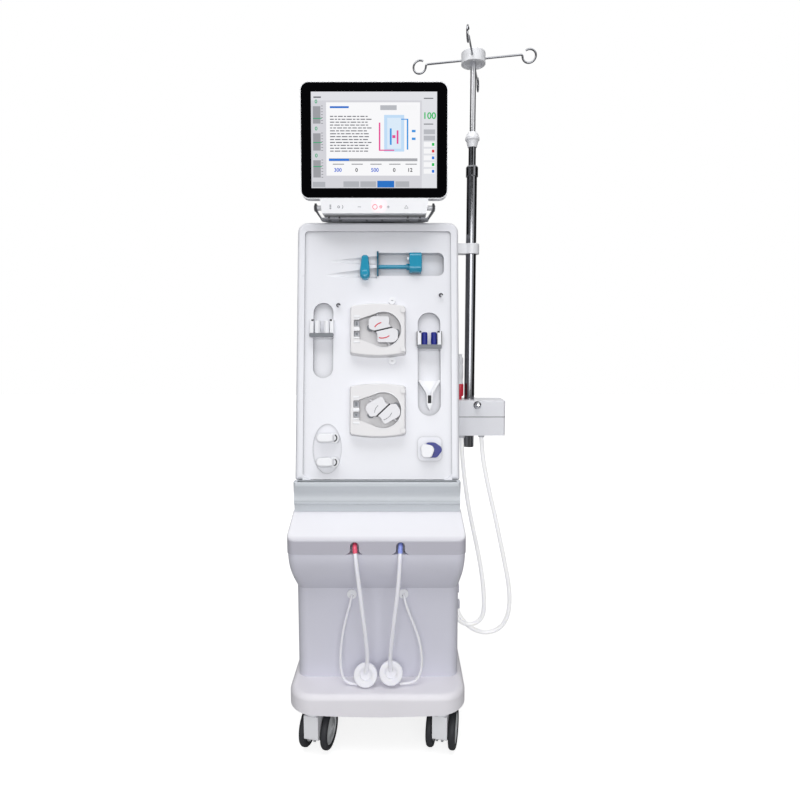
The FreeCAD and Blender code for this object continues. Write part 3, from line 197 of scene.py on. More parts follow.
shader_of(black_glass).inputs["Specular IOR Level"].default_value = 0.15
chrome = finish("chrome", linear(214, 216, 220), 0.09, bump=0.01, metallic=1.0)
pole_steel = finish("pole_steel", linear(134, 135, 139), 0.13, bump=0.01, metallic=1.0)
mast_steel = finish("mast_steel", linear(240, 241, 244), 0.28, bump=0.01, metallic=1.0)
dark_steel = finish("dark_steel", linear(88, 88, 94), 0.3, metallic=1.0)
rubber = finish("rubber", linear(40, 41, 46), 0.62, bump=0.15, grain=400)
hub_plastic = finish("hub_plastic", linear(206, 209, 211), 0.42)

# The hood is white on top and turns to a greyer band below its nose, which is 560 mm above the floor.
# That greyer band is painted shade for the face that turns down and in under the nose.
hood_tree = hood_paint.node_tree
height = add_node(hood_tree, "SeparateXYZ")
hood_tree.links.new(add_node(hood_tree, "TexCoord").outputs["Object"], height.inputs["Vector"])
under_nose_shade = ramp(hood_tree, height.outputs["Z"], 0.548, 0.560, 0, 1)
under_nose_shade = blend_colours(hood_tree, under_nose_shade, linear(186, 185, 196), linear(240, 240, 246))
hood_tree.links.new(under_nose_shade, shader_of(hood_paint).inputs["Base Color"])
print("finishes:", len(bpy.data.materials))

# %% [markdown]
# The hoses are soft silicone that lets some light in, so their shader has subsurface light. The red and
# the blue one are for the short sleeves at the top of the front hoses. The outer loops hang before a white
# backdrop that shines through their walls; a little white emission paints that glow on them, and a fainter
# one on the clear front hoses.

# %% Silicone
def silicone(name, colour, roughness=0.3, backlight_glow=0.0):
    material = finish(name, colour, roughness, bump=0.0, drift=0.02)
    inputs = shader_of(material).inputs
    inputs["Subsurface Weight"].default_value = 0.35
    inputs["Subsurface Radius"].default_value = (0.006, 0.006, 0.007)
    inputs["Subsurface Scale"].default_value = 0.6
    # Painted glow: a little white emission stands for the backdrop's light shining through the wall.
    inputs["Emission Color"].default_value = (1, 1, 1, 1)
    inputs["Emission Strength"].default_value = backlight_glow
    return material


clear_silicone = silicone("clear_silicone", linear(238, 238, 246), 0.25, backlight_glow=0.04)
loop_silicone = silicone("loop_silicone", linear(250, 250, 252), 0.2, backlight_glow=0.22)
milky_silicone = silicone("milky_silicone", linear(240, 240, 246), 0.35)
red_silicone = silicone("red_silicone", linear(236, 96, 124))
blue_silicone = silicone("blue_silicone", linear(150, 165, 236))
print("silicone ready")

# %% [markdown]
# Three little tools make almost every detail: a slab cut from an outline, a lathe turned from a profile
# and a swept tube. Each gives the piece its finish and makes it ride on the body that carries it.

# %% Making tools
HANDS = {-1: "left", 1: "right"}
SHARP_FROM = math.radians(38)
BEVEL_FROM = math.radians(50)


def settle(piece, material, body):
    piece.data.materials.append(material)
    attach(piece, body)
    return piece


def mesh_piece(name, points, faces, place, material, body):
    mesh = bpy.data.meshes.new(name)
    mesh.from_pydata([place @ Vector(point) for point in points], [], faces)
    mesh.validate()
    mesh.polygons.foreach_set("use_smooth", [True] * len(mesh.polygons))
    mesh.set_sharp_from_angle(angle=SHARP_FROM)
    piece = bpy.data.objects.new(name, mesh)
    scene.collection.objects.link(piece)
    return settle(piece, material, body)


def rounded(left, low, right, high, radius, steps=5):
    """Corner points of a rounded rectangle, anticlockwise from the lower right corner."""
    spots = []
    centres = ((right - radius, low + radius, -90), (right - radius, high - radius, 0),
               (left + radius, high - radius, 90), (left + radius, low + radius, 180))
    for x, z, first in centres:
        for step in range(steps + 1):
            turn = math.radians(first + 90 * step / steps)
            spots.append((x + radius * math.cos(turn), z + radius * math.sin(turn)))
    return spots


def soften(piece, width):
    bevel = piece.modifiers.new("soft_edges", "BEVEL")
    bevel.width = width
    bevel.segments = 2
    bevel.limit_method = "ANGLE"
    bevel.angle_limit = BEVEL_FROM
    return piece


def slab(name, outline, front, back, place, material, body, edge=0.0):
    """A plate between two depths; the outline is drawn in x and z."""
    count = len(outline)
    points = [(x, front, z) for x, z in outline] + [(x, back, z) for x, z in outline]
    sides = [(i, i + count, (i + 1) % count + count, (i + 1) % count) for i in range(count)]
    faces = [tuple(range(count)), tuple(reversed(range(count, 2 * count)))] + sides
    piece = mesh_piece(name, points, faces, place, material, body)
    return soften(piece, edge) if edge else piece


def lathe(name, profile, place, material, body, steps=48):
    """Turns a profile of (radius, height) points about the local z axis."""
    points = []
    for radius, height in profile:
        for step in range(steps):
            turn = 2 * math.pi * step / steps
            points.append((radius * math.cos(turn), radius * math.sin(turn), height))
    faces = []
    for ring in range(len(profile) - 1):
        for step in range(steps):
            ahead = (step + 1) % steps
            faces.append((ring * steps + step, ring * steps + ahead,
                          (ring + 1) * steps + ahead, (ring + 1) * steps + step))
    if profile[0][0] > 0 and profile[0] != profile[-1]:
        faces.append(tuple(reversed(range(steps))))
        faces.append(tuple((len(profile) - 1) * steps + step for step in range(steps)))
    return mesh_piece(name, points, faces, place, material, body)


def aim(spot, direction):
    """A place at a spot whose local z axis looks along a direction."""
    return Matrix.Translation(spot) @ Vector(direction).to_track_quat("Z", "Y").to_matrix().to_4x4()


def tube(name, points, radius, material, body):
    data = bpy.data.curves.new(name, "CURVE")
    data.dimensions = "3D"
    data.bevel_depth = radius
    data.bevel_resolution = 5
    data.resolution_u = 10
    data.use_fill_caps = True
    spline = data.splines.new("NURBS")
    spline.points.add(len(points) - 1)
    for control, spot in zip(spline.points, points):
        control.co = (*spot, 1)
    spline.order_u = 3
    spline.use_endpoint_u = True
    piece = bpy.data.objects.new(name, data)
    scene.collection.objects.link(piece)
    return settle(piece, material, body)


def dress(material, *nodes):
    for node in nodes:
        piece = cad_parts[node]
        if not piece.material_slots:
            piece.data.materials.append(material)
        for place in piece.material_slots:
            place.material = material


print("tools ready")

# %% [markdown]
# Six hoses come next, because the camera and the cords decide how much room the scene needs. Two hang
# from notches in the hood and carry round caps, two thin ones run from the ports on the cabinet down to
# those caps, and two long loops hang from the side box and go back into the cabinet. Each follows the
# route that the solid model has, as one smooth spline.

# %% Hoses
def place_route(points):
    return [CABINET @ Vector(point) for point in points]


RED_ROUTE = place_route((
    (-0.051, -0.205, 0.540), (-0.051, -0.221, 0.539), (-0.050, -0.234, 0.531), (-0.048, -0.240, 0.515),
    (-0.0455, -0.242, 0.490), (-0.041, -0.241, 0.452), (-0.036, -0.237, 0.402), (-0.0305, -0.231, 0.350),
    (-0.026, -0.220, 0.300), (-0.0235, -0.209, 0.256), (-0.025, -0.200, 0.222), (-0.0285, -0.197, 0.203)))
BLUE_ROUTE = place_route((
    (0.057, -0.205, 0.540), (0.057, -0.221, 0.539), (0.0565, -0.234, 0.531), (0.0555, -0.240, 0.515),
    (0.0545, -0.242, 0.490), (0.052, -0.241, 0.448), (0.047, -0.237, 0.400), (0.041, -0.231, 0.350),
    (0.036, -0.220, 0.302), (0.0325, -0.209, 0.258), (0.0315, -0.200, 0.226), (0.033, -0.197, 0.208)))
LEFT_RINSE_ROUTE = place_route((
    (-0.064, -0.164, 0.390), (-0.0655, -0.172, 0.382), (-0.069, -0.176, 0.367), (-0.076, -0.179, 0.342),
    (-0.0835, -0.182, 0.312), (-0.0885, -0.185, 0.280), (-0.0915, -0.188, 0.246), (-0.091, -0.191, 0.214),
    (-0.085, -0.195, 0.189), (-0.071, -0.199, 0.177), (-0.050, -0.200, 0.176)))
RIGHT_RINSE_ROUTE = place_route((
    (0.0645, -0.164, 0.391), (0.0665, -0.172, 0.383), (0.071, -0.176, 0.368), (0.080, -0.179, 0.343),
    (0.092, -0.182, 0.315), (0.1025, -0.185, 0.285), (0.109, -0.188, 0.252), (0.110, -0.191, 0.220),
    (0.103, -0.195, 0.192), (0.086, -0.199, 0.177), (0.055, -0.200, 0.177)))
INNER_ROUTE = place_route((
    (0.226, 0.034, 0.751), (0.227, 0.034, 0.722), (0.230, 0.035, 0.682), (0.236, 0.037, 0.632),
    (0.245, 0.040, 0.572), (0.257, 0.043, 0.512), (0.271, 0.046, 0.450), (0.284, 0.050, 0.388),
    (0.2915, 0.053, 0.342), (0.296, 0.056, 0.305), (0.2985, 0.0585, 0.275), (0.2988, 0.0603, 0.249),
    (0.297, 0.0615, 0.2253), (0.2863, 0.062, 0.2067), (0.2677, 0.062, 0.196), (0.2463, 0.062, 0.196),
    (0.2277, 0.062, 0.2067), (0.217, 0.062, 0.2253), (0.217, 0.062, 0.2467)))
OUTER_ROUTE = place_route((
    (0.282, 0.046, 0.751), (0.284, 0.0465, 0.722), (0.289, 0.048, 0.682), (0.299, 0.050, 0.632),
    (0.313, 0.053, 0.572), (0.328, 0.057, 0.512), (0.342, 0.061, 0.450), (0.356, 0.066, 0.388),
    (0.369, 0.071, 0.328), (0.377, 0.076, 0.270), (0.374, 0.080, 0.214), (0.352, 0.083, 0.172),
    (0.312, 0.084, 0.157), (0.274, 0.084, 0.167), (0.243, 0.084, 0.192), (0.224, 0.084, 0.226),
    (0.217, 0.084, 0.262), (0.217, 0.084, 0.285)))
HOSES = {
    "red_hose": (RED_ROUTE, 0.010, clear_silicone, 0.366, "fitting", ["left_cap"]),
    "blue_hose": (BLUE_ROUTE, 0.010, clear_silicone, 0.360, "fitting", ["right_cap"]),
    "left_rinse_hose": (LEFT_RINSE_ROUTE, 0.0064, milky_silicone, 0.248, "object", []),
    "right_rinse_hose": (RIGHT_RINSE_ROUTE, 0.0064, milky_silicone, 0.264, "object", []),
    "inner_dialysate_hose": (INNER_ROUTE, 0.012, loop_silicone, 0.659, "object", []),
    "outer_dialysate_hose": (OUTER_ROUTE, 0.012, loop_silicone, 0.811, "object", []),
}
for name, (route, width, material, length, end, carried) in HOSES.items():
    hose = tube(name + "_tube", route, width / 2, material, "cabinet")
    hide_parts(name)
print("hoses:", len(HOSES))

# %% [markdown]
# The studio is a floor and two soft lamps, one above and one in front. The world is white where the
# camera, a mirror or a clear tube looks at it, and quieter as a lamp, so the machine keeps its shading.
# The floor glows for the camera alone, a little less under the machine, and so melts into the white
# backdrop with a soft shadow left round the casters. Five dark cards stand around, as photographers place
# them. The camera doesn't see them, but the chrome pole gets its dark edges from them, and the one behind
# the camera keeps the glass of the screen dark.

# %% Studio
FLOOR_REACH = 9
CARD_FOOT, CARD_TOP = 0.01, 4.4


def stage_plane(name, corners, material):
    mesh = bpy.data.meshes.new(name)
    mesh.from_pydata(corners, [], [(0, 1, 2, 3)])
    mesh.materials.append(material)
    plane = bpy.data.objects.new(name, mesh)
    scene.collection.objects.link(plane)
    return plane


floor_paint = new_material("floor_paint", Base_Color=(0.5, 0.5, 0.5, 1), Roughness=0.9)
tree = floor_paint.node_tree
away = add_node(tree, "VectorMath")
away.operation = "LENGTH"
tree.links.new(add_node(tree, "TexCoord").outputs["Object"], away.inputs[0])
bright = ramp(tree, away.outputs["Value"], 0.4, 1.6, 0.8, 1.0)
strength = combine(tree, "MULTIPLY", add_node(tree, "LightPath").outputs["Is Camera Ray"], bright)
glow = add_node(tree, "Emission", Color=(1, 1, 1, 1))
tree.links.new(strength, glow.inputs["Strength"])
both = add_node(tree, "AddShader")
tree.links.new(shader_of(floor_paint).outputs["BSDF"], both.inputs[0])
tree.links.new(glow.outputs["Emission"], both.inputs[1])
tree.links.new(both.outputs["Shader"], tree.nodes["Material Output"].inputs["Surface"])
stage_plane("floor", [(x * FLOOR_REACH, y * FLOOR_REACH, 0) for x, y in ((-1, -1), (1, -1), (1, 1), (-1, 1))],
            floor_paint)

card_paint = new_material("card_paint", Base_Color=(0.02, 0.02, 0.02, 1), Roughness=0.9)
CARDS = {"left": ((-2.7, -1.6), (-2.7, 2.2)), "right": ((2.7, -1.6), (2.7, 2.2)),
         "far_left": ((-2.7, 2.2), (-6.3, 7.2)), "far_right": ((2.7, 2.2), (6.3, 7.2)),
         "behind": ((-2.0, -4.2), (2.0, -4.2))}
for name, (first, last) in CARDS.items():
    corners = [(*first, CARD_FOOT), (*last, CARD_FOOT), (*last, CARD_TOP), (*first, CARD_TOP)]
    card = stage_plane("dark_card_" + name, corners, card_paint)
    card.visible_camera = False

world = bpy.data.worlds.new("world")
scene.world = world
world.use_nodes = True
tree = world.node_tree
path = add_node(tree, "LightPath")
seen = combine(tree, "MAXIMUM", path.outputs["Is Camera Ray"], path.outputs["Is Glossy Ray"])
clear = combine(tree, "MAXIMUM", seen, path.outputs["Is Transmission Ray"])
background = tree.nodes["Background"]
background.inputs["Color"].default_value = (1, 1, 1, 1)
tree.links.new(ramp(tree, clear, 0, 1, 0.5, 1.0), background.inputs["Strength"])


def soft_light(name, spot, target, width, height, power):
    data = bpy.data.lights.new(name, "AREA")
    data.shape = "RECTANGLE"
    data.size = width
    data.size_y = height
    data.energy = power
    lamp = bpy.data.objects.new(name, data)
    lamp.location = spot
    lamp.rotation_euler = (Vector(target) - Vector(spot)).to_track_quat("-Z", "Y").to_euler()
    scene.collection.objects.link(lamp)


soft_light("top_light", (-0.3, -1.1, 3.3), (0, 0, 0.8), 2.4, 1.4, 34)
soft_light("front_light", (0.1, -3.0, 1.3), (0, 0, 1.2), 2.2, 1.3, 42)
print("lights:", len(bpy.data.lights))

# %% [markdown]
# The large mouldings come straight from the solid model, which already has their rims, coves and slots.
# They only need paint: the panel is the whitest, the hood, shell and tray a little cooler, and the inner
# machinery and frame are dark and quiet.

# %% Painted mouldings
dress(panel_paint, "front_panel", "upper_casing", "rear_panel", "side_box")
dress(shell_paint, "lower_shell")
dress(hood_paint, "ledge_hood")
dress(tray_paint, "drip_tray")
dress(base_paint, "base_cover")
dress(dark_steel, "chassis_frame", "hydraulic_unit", "panel_hooks")
dress(grey_plastic, "rear_ports", "pump_1_rollers", "pump_2_rollers")
dress(white_plastic, "monitor_shell", "keypad_bar", "pole_knob", "pole_bracket", "clip_frames",
      "chamber_funnel", "white_jaw_left", "white_jaw_right", "line_clamp_lever", "port_discs",
      "port_lever_upper", "port_lever_lower", "hook_hub")
dress(rotor_plastic, "pump_1_rotor", "pump_2_rotor")
dress(warm_plastic, "pump_1_housing", "pump_2_housing")
dress(yoke_metal, "monitor_yoke")
dress(teal_plastic, "syringe_clamp", "syringe_pusher")
dress(deep_teal, "syringe_plate")
dress(blue_plastic, "blue_jaw_left", "blue_jaw_right", "line_clamp_jaw")
dress(black_glass, "screen_glass")
dress(pole_steel, "pole_tube", "bag_hooks")
dress(mast_steel, "pole_mast")
dress(chrome, "side_knob")
dress(milky_silicone, "left_cap", "right_cap")
for corner in ("front_left", "front_right", "rear_left", "rear_right"):
    dress(white_plastic, "caster_fork_" + corner)
print("dressed nodes")

# %% [markdown]
# A caster of this kind has two wheels, each a dark tyre on a pale disc. The solid model gives the pair as
# one node, so we turn a tyre and a disc for each and let them stand for it. The disc is dished, with a
# raised ring, because that edge is what the eye finds first. Two short pins under each fork stand for
# the brake.

# %% Casters
WHEEL_RADIUS = 0.050
WHEEL_INNER = 0.0186
WHEEL_OUTER = 0.037
TRAIL = 0.033
YAW = math.radians(-12)
SWIVELS = {"front_left": (-0.156, -0.210), "front_right": (0.156, -0.210),
           "rear_left": (-0.156, 0.150), "rear_right": (0.156, 0.150)}
TYRE = [(0.0365, WHEEL_INNER + 0.001), (0.042, WHEEL_INNER), (0.0465, WHEEL_INNER + 0.001),
        (0.0492, WHEEL_INNER + 0.004), (WHEEL_RADIUS, WHEEL_INNER + 0.0085), (0.0494, WHEEL_OUTER - 0.005),
        (0.047, WHEEL_OUTER - 0.0018), (0.0435, WHEEL_OUTER - 0.0004), (0.0395, WHEEL_OUTER - 0.001),
        (0.0378, WHEEL_OUTER - 0.0028), (0.0365, WHEEL_OUTER - 0.004)]
DISC = [(0.0052, WHEEL_INNER + 0.0004), (0.0365, WHEEL_INNER + 0.002), (0.0372, WHEEL_OUTER - 0.0034),
        (0.0345, WHEEL_OUTER - 0.0026), (0.0325, WHEEL_OUTER - 0.0048), (0.016, WHEEL_OUTER - 0.0032),
        (0.0125, WHEEL_OUTER - 0.0008), (0.0105, WHEEL_OUTER - 0.0008), (0.0085, WHEEL_OUTER - 0.0024),
        (0.0052, WHEEL_OUTER - 0.0026)]
for corner, (x, y) in SWIVELS.items():
    swivel = CABINET @ Matrix.Translation((x, y, 0)) @ Matrix.Rotation(YAW, 4, "Z")
    axle = swivel @ Matrix.Translation((0, TRAIL, WHEEL_RADIUS))
    wheels, fork = "wheels_" + corner, "fork_" + corner
    for side, hand in HANDS.items():
        place = axle @ Matrix.Rotation(math.radians(90 * side), 4, "Y")
        tyre = lathe("tyre_%s_%s" % (corner, hand), TYRE + [TYRE[0]], place, rubber, wheels, 64)
        disc = lathe("disc_%s_%s" % (corner, hand), DISC + [DISC[0]], place, hub_plastic, wheels,
                     64)
        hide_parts("caster_wheels_" + corner)
        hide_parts("caster_wheels_" + corner)
    lathe("axle_" + corner, [(0.0049, -0.0350), (0.0049, 0.0350)],
          axle @ Matrix.Rotation(math.radians(90), 4, "Y"), chrome, fork, 24)
    foot = swivel @ Matrix.Translation((0, -0.002, 0.047))
    for index, left in enumerate((-0.011, 0.002)):
        slab("brake_pin_%s_%d" % (corner, index), rounded(left, -0.006, left + 0.007, 0.004, 0.002),
             -0.012, 0.004, foot, chrome, fork, 0.001)
print("casters:", len(SWIVELS))

# %% [markdown]
# The lit picture on the screen is our own drawing: gauge bars, a flow diagram in plain blocks, dashes in
# place of words and a few plain numbers. Each colour is one flat mesh of rectangles, a fraction of a
# millimetre in front of the glass, and gives off light of its own.

# %% Screen picture
PICTURE_WIDTH = 0.3041
PICTURE_HEIGHT = 0.2281
FIRST_LAYER = 0.0002
LAYER_STEP = 0.00012
DIGIT_SIZE = 0.0125
LARGE_DIGIT_SIZE = 0.0215
GREEN = linear(24, 168, 110)
BLUE = linear(36, 96, 214)
INK = linear(30, 32, 38)


def lit(name, colour, strength=0.95):
    return new_material(name, Base_Color=(0.01, 0.01, 0.01, 1), Roughness=0.2, Emission_Color=colour,
                        Emission_Strength=strength)


def on_picture(x, z, layer):
    """A point given in hundredths of the picture's width and height, on one of its layers."""
    depth = -FIRST_LAYER - LAYER_STEP * layer
    return ((x / 100 - 0.5) * PICTURE_WIDTH, depth, (z / 100 - 0.5) * PICTURE_HEIGHT)


def picture(name, boxes, colour, layer):
    """Rectangles given as left, low, right, high in hundredths of the picture's width and height."""
    points, faces = [], []
    for left, low, right, high in boxes:
        start = len(points)
        corners = ((left, low), (right, low), (right, high), (left, high))
        points += [on_picture(x, z, layer) for x, z in corners]
        faces.append((start, start + 1, start + 2, start + 3))
    return mesh_piece(name, points, faces, SCREEN, lit(name + "_light", colour), "monitor")


def written(name, text, left, low, size, colour):
    data = bpy.data.curves.new(name, "FONT")
    data.body = text
    data.size = size
    data.offset = 0.02 * size
    piece = bpy.data.objects.new(name, data)
    scene.collection.objects.link(piece)
    spot = Matrix.Translation(on_picture(left, low, 4))
    piece.matrix_world = SCREEN @ spot @ Matrix.Rotation(math.radians(90), 4, "X")
    return settle(piece, lit(name + "_light", colour), "monitor")


gauge_lows = (67, 39, 11)
picture("screen_ground", [(0, 0, 100, 100)], linear(214, 214, 220), 0)
picture("screen_head", [(0, 91, 100, 100), (88, 0, 100, 91)], linear(228, 229, 234), 1)
picture("screen_page", [(12, 13, 86.5, 89)], linear(252, 252, 254), 1)
picture("screen_gauges", [(1.5, low, 7.5, low + 18) for low in gauge_lows], linear(158, 159, 164), 2)
picture("screen_levels", [(1.5, low + 5 + 3 * n, 8.5, low + 5.8 + 3 * n) for n, low in enumerate(gauge_lows)],
        GREEN, 3)
picture("screen_ticks", [(8, low + 3 * n, 9.4, low + 3 * n + 0.5) for low in gauge_lows for n in range(7)],
        linear(90, 92, 98), 2)
picture("screen_tabs", [(1, 1, 11, 6.5), (25.5, 1, 38, 7), (39, 1, 51.5, 7), (67, 1, 78, 7)],
        linear(178, 180, 186), 2)
picture("screen_tab_lit", [(52.5, 0.6, 66, 7.6)], linear(24, 112, 200), 2)
picture("screen_keys", [(89.5, z, 98.5, z + 5) for z in (15, 22, 29, 36, 43)] + [(70, 81, 84, 86)],
        linear(250, 250, 252), 2)
picture("screen_chips", [(89.5, 56, 98.5, 61), (89.5, 49.5, 98.5, 54.5), (55, 81, 68, 86)],
        linear(186, 188, 194), 2)
picture("screen_dots_blue", [(96, z + 1, 98, z + 4) for z in (15, 29)] + [(14, 28.4, 30, 30.6)],
        linear(40, 120, 220), 3)
picture("screen_dots_green", [(96, z + 1, 98, z + 4) for z in (22, 43)], linear(40, 190, 90), 3)
picture("screen_dots_red", [(96, 37, 98, 40)], linear(220, 60, 70), 3)
picture("screen_bar", [(14, 28, 84.5, 31)], linear(168, 169, 174), 2)
lines = []
for row in range(13):
    low = 74 - 3 * row
    left = 15
    while left < 45:
        width = random.uniform(1.6, 5.0)
        lines.append((left, low, min(left + width, 48), low + 1.0))
        left += width + 0.8
picture("screen_lines", lines, linear(96, 98, 106), 2)
picture("screen_heading", [(15, 83, 30, 85)], linear(30, 110, 205), 2)
picture("screen_labels", [(x, 24.5, x + 9, 25.3) for x in (17, 32, 47, 62, 75)]
        + [(89.5, 92.5, 97, 93.6), (89.5, 66, 97, 67), (2, 93.5, 8, 95)], linear(110, 112, 118), 3)
picture("flow_block", [(58, 38, 74, 76)], linear(196, 224, 250), 2)
picture("flow_channel", [(60.5, 41, 71.5, 73)], linear(222, 238, 253), 3)
picture("flow_blue", [(76, 40, 77.2, 72), (71.5, 71, 77.2, 72), (62.5, 45, 64, 62), (80, 58, 83, 60.5),
                      (80, 50, 83, 52.5)], linear(60, 150, 226), 4)
picture("flow_red", [(53.8, 40, 55, 68), (53.8, 38.8, 66, 40), (68, 46, 69.4, 60), (64.5, 52, 67, 55)],
        linear(232, 70, 150), 4)
written("number_flow", "100", 88.6, 72, LARGE_DIGIT_SIZE, linear(28, 190, 96))
for name, text, left, low, colour in (
        ("number_a", "0", 3, 88, GREEN), ("number_b", "0", 3, 60, GREEN), ("number_c", "0", 3, 32, GREEN),
        ("number_d", "300", 18, 17, BLUE), ("number_e", "0", 35, 17, INK),
        ("number_f", "500", 47.5, 17, BLUE), ("number_g", "0", 65, 17, INK),
        ("number_h", "12", 76.5, 17, INK)):
    written(name, text, left, low, DIGIT_SIZE, colour)

# %% [markdown]
# The bar below the screen has six flat keys, printed on the plastic: bars, an arc, a line, a round stop
# mark with a small red lamp, a plus and a triangle. They are thin raised prints, so that they stay crisp
# in any light.

# %% Key prints
BAR = CABINET @ Matrix.Translation((-0.007, -0.101, 1.340))
PRINT_FRONT, PRINT_BACK = -0.0004, 0.0002


def ring(name, x, z, outer, inner, first, last, place, front, back, material, body, slot_name, steps=28):
    """A flat ring, or a part of one, drawn as a slab."""
    turns = [math.radians(first + (last - first) * step / steps) for step in range(steps + 1)]
    outline = [(x + outer * math.cos(turn), z + outer * math.sin(turn)) for turn in turns]
    outline += [(x + inner * math.cos(turn), z + inner * math.sin(turn)) for turn in reversed(turns)]
    points = [(a, front, b) for a, b in outline] + [(a, back, b) for a, b in outline]
    count = len(outline)
    faces = []
    for step in range(steps):
        low, high = step, count - 1 - step
        faces.append((low, low + 1, high - 1, high))
        faces.append((low + count, high + count, high - 1 + count, low + 1 + count))
        faces.append((low, low + count, low + 1 + count, low + 1))
        faces.append((high, high - 1, high - 1 + count, high + count))
    return mesh_piece(name, points, faces, place, material, body)


# A painted pool of pink lamp light: a thin plate round the stop lamp glows, fading with the distance from it.
painted_lamp_glow = finish("painted_lamp_glow", linear(238, 239, 243), 0.34, bump=0)
tree = painted_lamp_glow.node_tree
offset = add_node(tree, "VectorMath")
offset.operation = "DISTANCE"
offset.inputs[1].default_value = BAR @ Vector((0.012, -0.0003, 0.004))
tree.links.new(add_node(tree, "TexCoord").outputs["Object"], offset.inputs[0])
fade = ramp(tree, offset.outputs["Value"], 0.004, 0.022, 0.55, 0.0)
shader_of(painted_lamp_glow).inputs["Emission Color"].default_value = linear(255, 120, 140)
tree.links.new(fade, shader_of(painted_lamp_glow).inputs["Emission Strength"])
slab("painted_stop_lamp_glow", rounded(-0.012, -0.0135, 0.037, 0.0165, 0.004), -0.0002, 0.0002, BAR, painted_lamp_glow, "monitor")
key_ink = finish("key_ink", linear(104, 106, 116), 0.5, bump=0)
red_ink = finish("red_ink", linear(226, 70, 92), 0.4, bump=0)
red_lamp = lit("red_lamp", linear(255, 180, 186), 0.9)


def key_slab(name, x, z, wide, tall, ink=key_ink, radius=0.0004, steps=2, front=PRINT_FRONT):
    """A rounded bar round a point of the keypad, given by half its width and height."""
    outline = rounded(x - wide, z - tall, x + wide, z + tall, radius, steps)
    slab(name, outline, front, PRINT_BACK, BAR, ink, "monitor")


def key_ring(name, x, z, outer, inner, first=0, last=359, ink=key_ink, steps=28):
    ring(name, x, z, outer, inner, first, last, BAR, PRINT_FRONT, PRINT_BACK, ink, "monitor", "grey_plastic",
         steps)


key_x = (-0.106, -0.080, -0.036, 0.002, 0.034, 0.078)
for index, z in enumerate((-0.004, 0.0, 0.004)):
    key_slab("key_bar_%d" % index, key_x[0], z, 0.002, 0.001)
key_ring("key_arc", key_x[1], 0, 0.005, 0.0038, -60, 60)
key_ring("key_arc_small", key_x[1] - 0.006, 0, 0.003, 0.0018)
key_slab("key_line", key_x[2], 0, 0.004, 0.0005)
key_ring("key_stop", key_x[3], 0, 0.0062, 0.0048, ink=red_ink)
key_slab("stop_lamp", key_x[3] + 0.014, 0, 0.004, 0.004, red_lamp, 0.0039, 6)
for index, (wide, tall) in enumerate(((0.0035, 0.0006), (0.0006, 0.0035))):
    key_slab("key_plus_%d" % index, key_x[4], 0, wide, tall, front=PRINT_FRONT - 0.0001 * index)
key_ring("key_triangle", key_x[5], -0.001, 0.0055, 0.0042, 90, 450, steps=3)
print("keys:", len(key_x))

# %% [markdown]
# Seen from below, the yoke under the screen shows dark slots, screw holes and side strips. They are thin
# dark plates let into its underside, front and sides; in the slots and holes the dark plate is painted
# shade for the opening. A flat bolt head closes the tilt hinge on each side.

# %% Yoke details
YOKE = CABINET @ Matrix.Translation((-0.007, 0, 1.316))


def yoke_slot_shade(name, x, wide, near, far):
    corners = ((x - wide, near), (x + wide, near), (x + wide, far), (x - wide, far))
    points = [(across, y, z) for z in (-0.0001, 0.0006) for across, y in corners]
    faces = [(3, 2, 1, 0), (4, 5, 6, 7), (0, 1, 5, 4), (1, 2, 6, 5), (2, 3, 7, 6), (3, 0, 4, 7)]
    mesh_piece(name, points, faces, YOKE, dark_plastic, "yoke")


def mirrored(outline, side):
    """The outline as drawn for the right hand, or its mirror image for the left."""
    return list(outline) if side > 0 else [(-x, z) for x, z in reversed(outline)]


EDGE = ((0.1315, 0.0012), (0.1335, 0.0008), (0.1472, 0.0200), (0.1472, 0.0370), (0.1425, 0.0370),
        (0.1425, 0.0215))
BOLT = [(0.0001, 0.0012), (0.008, 0.0012), (0.009, 0.0004), (0.009, -0.0002)]
# Dark plates in the underside's slots and holes: painted shade for the openings.
for index, x in enumerate((-0.112, -0.086, -0.0205, 0.0185, 0.082, 0.112)):
    wide = 0.004 if abs(x) > 0.05 else 0.0025
    yoke_slot_shade("yoke_slot_%d" % index, x, wide, -0.070, -0.058)
    yoke_slot_shade("yoke_slot_far_%d" % index, x, wide, -0.054, -0.050)
for side, hand in HANDS.items():
    slab("yoke_edge_" + hand, mirrored(EDGE, side), -0.0806, -0.0535, YOKE, dark_plastic, "yoke")
    seat = YOKE @ Matrix.Translation((side * 0.1475, -0.070, 0.028))
    seat = seat @ Matrix.Rotation(math.radians(90 * side), 4, "Y")
    lathe("tilt_bolt_" + hand, BOLT, seat, dark_steel, "yoke", 32)
# Dark plates in the front skirt's slots: painted shade for the openings.
for index, x in enumerate((-0.112, -0.086, 0.082, 0.112)):
    slab("yoke_skirt_slot_shade_%d" % index, rounded(x - 0.0022, 0.0008, x + 0.0022, 0.0056, 0.0008, 2), -0.0810,
         -0.0804, YOKE, dark_plastic, "yoke")
print("yoke details placed")

# %% [markdown]
# Each blood pump shows a rotor with two strokes printed on its lobes and a dark groove between them, a
# dark plate that is painted shade for the deep gap. They ride on the rotor and turn with it, so they are
# drawn in the rotor's own place. The housing has grey pads in the two tube slots at its left, white ribs
# above and below them, and a pale ring round the chamber.

